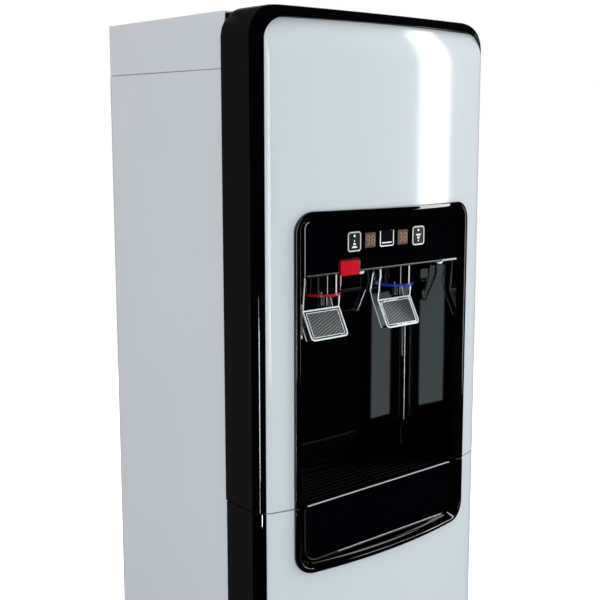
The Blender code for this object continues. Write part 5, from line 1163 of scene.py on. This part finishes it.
def build_grille():
    low = TRAY_RIM + GAP
    high = low + GRILLE_THICKNESS
    front = TRAY_FRONT + TRAY_PLATE + GAP
    plan = plan_outline(TRAY_HALF, front, TRAY_BACK, TRAY_CORNER)
    grille = add_piece("grille", prism(plan, "z", low, high), "grille_black", "drip_grille", ("drip_grille",))
    slots = bmesh.new()
    room = TRAY_BACK - front - 2 * GRILLE_EDGE
    count = int((room + GRILLE_BAR) / (GRILLE_SLOT + GRILLE_BAR))
    pitch = (room - GRILLE_SLOT) / (count - 1)
    radius = GRILLE_SLOT / 2
    edge = TRAY_HALF - GRILLE_EDGE
    for index in range(count):
        y = front + GRILLE_EDGE + pitch * index + radius
        for left, right in ((-edge, -GRILLE_BAR / 2), (GRILLE_BAR / 2, edge)):
            slot = arc((left + radius, y), radius, 90, 270, SMALL_STEPS)
            slot += arc((right - radius, y), radius, -90, 90, SMALL_STEPS)
            prism(slot, "z", low - OVERRUN, high + OVERRUN, slots)
    carve(grille, slots)
    round_edges(grille, EDGE_FINE)


# Script

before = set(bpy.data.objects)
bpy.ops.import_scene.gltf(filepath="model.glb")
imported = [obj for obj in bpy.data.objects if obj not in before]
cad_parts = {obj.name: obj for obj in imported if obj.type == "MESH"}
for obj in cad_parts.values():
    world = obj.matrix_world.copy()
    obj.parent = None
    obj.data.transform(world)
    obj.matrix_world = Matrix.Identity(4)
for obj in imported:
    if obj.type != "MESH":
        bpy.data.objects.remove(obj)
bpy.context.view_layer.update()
make_camera()
bpy.context.scene.view_settings.view_transform = "Standard"
make_world()
make_floor()

add_light("front_fill", (-1.0, -2.6, 1.6), (0.0, 0.0, 0.8), (1.6, 1.6), 6.0, glossy=False)
add_light("side_fill", (-2.8, 0.5, 1.6), (0.0, 0.1, 0.7), (1.6, 1.6), 29.0, glossy=False)
add_light("top_fill", (0.2, 0.0, 2.8), (0.0, 0.0, 0.8), (1.6, 1.6), 20.0, glossy=False)
add_light("back_fill", (1.2, 2.6, 1.4), (0.0, 0.1, 0.6), (1.4, 1.4), 16.0)
add_light("right_softbox", (1.6, -1.09, 1.05), (0.0, -1.09, 1.05), (0.48, 1.7), 19.0)
add_light("front_strip", (-0.28, -2.1, 0.85), (0.0, -0.13, 0.85), (0.12, 1.3), 4.0)
add_light("high_box", (1.0, -0.6, 1.75), (0.0, -0.13, 0.7), (0.4, 0.4), 3.4)
# Beside the camera, for the strips that the glossy bay mirrors
add_light("near_line", (-0.7165, -0.8595, 0.38), (0.1, -0.06, 0.38), (0.012, 0.40), 1.2, (0.9, 1.0, 1.05),
          diffuse=False)
add_light("near_strip_right", (-0.676, -0.901, 0.41), (-0.676 - 0.0437, -0.901 + 1.0, 0.41), (0.062, 0.29), 0.54,
          (0.84, 1.0, 1.06))
add_light("near_strip_left", (-0.757, -0.818, 0.46), (-0.757 + 0.07, -0.818 + 1.0, 0.46), (0.074, 0.32), 0.70,
          (0.84, 1.0, 1.06))

finish_of("panel_white", (0.62, 0.67, 0.69), 0.12, (420.0, 0.02), mottle=(5.0, 0.008))
finish_of("sheet_white", (0.58, 0.60, 0.62), 0.36, (1400.0, 0.10), mottle=(6.0, 0.012))
finish_of("liner_white", (0.66, 0.68, 0.69), 0.45, (700.0, 0.12))
finish_of("frame_satin", (0.0085, 0.0085, 0.0078), 0.42, (1600.0, 0.30), 0.00012, mottle=(9.0, 0.02),
          rough_change=0.03)
finish_of("gloss_black", (0.0005, 0.0005, 0.0012), 0.018, (70.0, 0.008), 0.0002, mottle=(14.0, 0.10),
          specular=0.8)
finish_of("grille_black", (0.0016, 0.0016, 0.0020), 0.5, (900.0, 0.10), specular=0.1)
# Light grey for thin beads along black edges: a painted highlight
finish_of("bright_lip", (0.42, 0.44, 0.46), 0.30, (400.0, 0.05))
finish_of("lip_black", (0.004, 0.004, 0.005), 0.30, (400.0, 0.05), specular=1.0)
finish_of("moulded_black", (0.010, 0.010, 0.011), 0.45, (1100.0, 0.30), 0.00015)
finish_of("key_face", (0.012, 0.013, 0.011), 0.22, (800.0, 0.08))
finish_of("key_silver", (0.70, 0.72, 0.71), 0.30, (900.0, 0.06), metallic=0.2)
finish_of("display_amber", (0.085, 0.032, 0.010), 0.45, (900.0, 0.03), mottle=(60.0, 0.05))
glow_finish("display_digit", (0.30, 0.13, 0.045), 0.20)
finish_of("smoked_window", (0.004, 0.004, 0.006), 0.07, (70.0, 0.01), 0.0002)
glow_finish("print_white", (0.80, 0.82, 0.82), 0.10)
glow_finish("lamp_white", (0.70, 0.85, 0.90), 0.45)
finish_of("board_green", (0.02, 0.12, 0.05), 0.50, (300.0, 0.3), 0.0002, mottle=(160.0, 0.25))
finish_of("latch_red", (0.52, 0.001, 0.012), 0.35, (200.0, 0.01), mottle=(12.0, 0.02), specular=0.05)
finish_of("ring_red", (0.46, 0.001, 0.014), 0.25, (500.0, 0.05))
finish_of("ring_blue", (0.001, 0.028, 0.42), 0.25, (500.0, 0.05))
clear_finish("clear_plastic", (0.97, 0.98, 0.99), 0.02)
finish_of("rib_plastic", (0.15, 0.165, 0.165), 0.40, (700.0, 0.05), mottle=(80.0, 0.10))
finish_of("bed_plastic", (0.012, 0.014, 0.015), 0.35, (700.0, 0.05), mottle=(60.0, 0.08))
# Milky plastic with a painted glow, for the lever edge beads and the bumpers: painted highlights
milky = clear_finish("milky_edge", (0.93, 0.96, 0.97), 0.12, transmission=0.10)
milky.inputs["Emission Color"].default_value = (0.93, 0.97, 1.0, 1.0)
milky.inputs["Emission Strength"].default_value = 0.12
finish_of("rubber_black", (0.015, 0.015, 0.015), 0.80, (600.0, 0.3), 0.0002)
finish_of("zinc_steel", (0.55, 0.55, 0.53), 0.35, (700.0, 0.1), mottle=(90.0, 0.12), metallic=0.9)
finish_of("tank_steel", (0.60, 0.60, 0.60), 0.25, (160.0, 0.12), mottle=(20.0, 0.05), metallic=1.0,
          stretch=(1.0, 1.0, 24.0))
finish_of("foam_white", (0.80, 0.80, 0.78), 0.90, (240.0, 0.6), 0.0006, mottle=(60.0, 0.05))
finish_of("copper_tube", (0.70, 0.33, 0.20), 0.35, (160.0, 0.2), 0.0002, mottle=(60.0, 0.15), metallic=1.0,
          stretch=(1.0, 1.0, 4.0))
finish_of("heater_grey", (0.35, 0.35, 0.36), 0.60, (400.0, 0.2), 0.0002, metallic=0.5)
clear_finish("silicone_clear", (0.80, 0.82, 0.82), 0.35, transmission=0.45, ior=1.41)
finish_of("condenser_black", (0.012, 0.012, 0.012), 0.48, (700.0, 0.25), 0.0002)
finish_of("switch_red", (0.45, 0.01, 0.01), 0.30, (600.0, 0.1))
finish_of("switch_green", (0.01, 0.25, 0.06), 0.30, (600.0, 0.1))

node_looks = {node: name for name, nodes in NODE_LOOKS.items() for node in nodes}
for node, name in node_looks.items():
    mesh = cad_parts[node].data
    mesh.materials.clear()
    mesh.materials.append(look[name])
for node, width in ROUNDED_NODES.items():
    refine(node, node_looks[node], MOVING_NODES.get(node, "cabinet"), width)

build_frames()
build_panels()
build_rims()
build_bay()
build_fascia()
build_windows()
build_keys()
build_latch()
build_tap("hot", -TAP_X, "ring_red")
build_tap("cold", TAP_X, "ring_blue")
build_lever("hot", -TAP_X)
build_lever("cold", TAP_X)
build_tray()
build_grille()
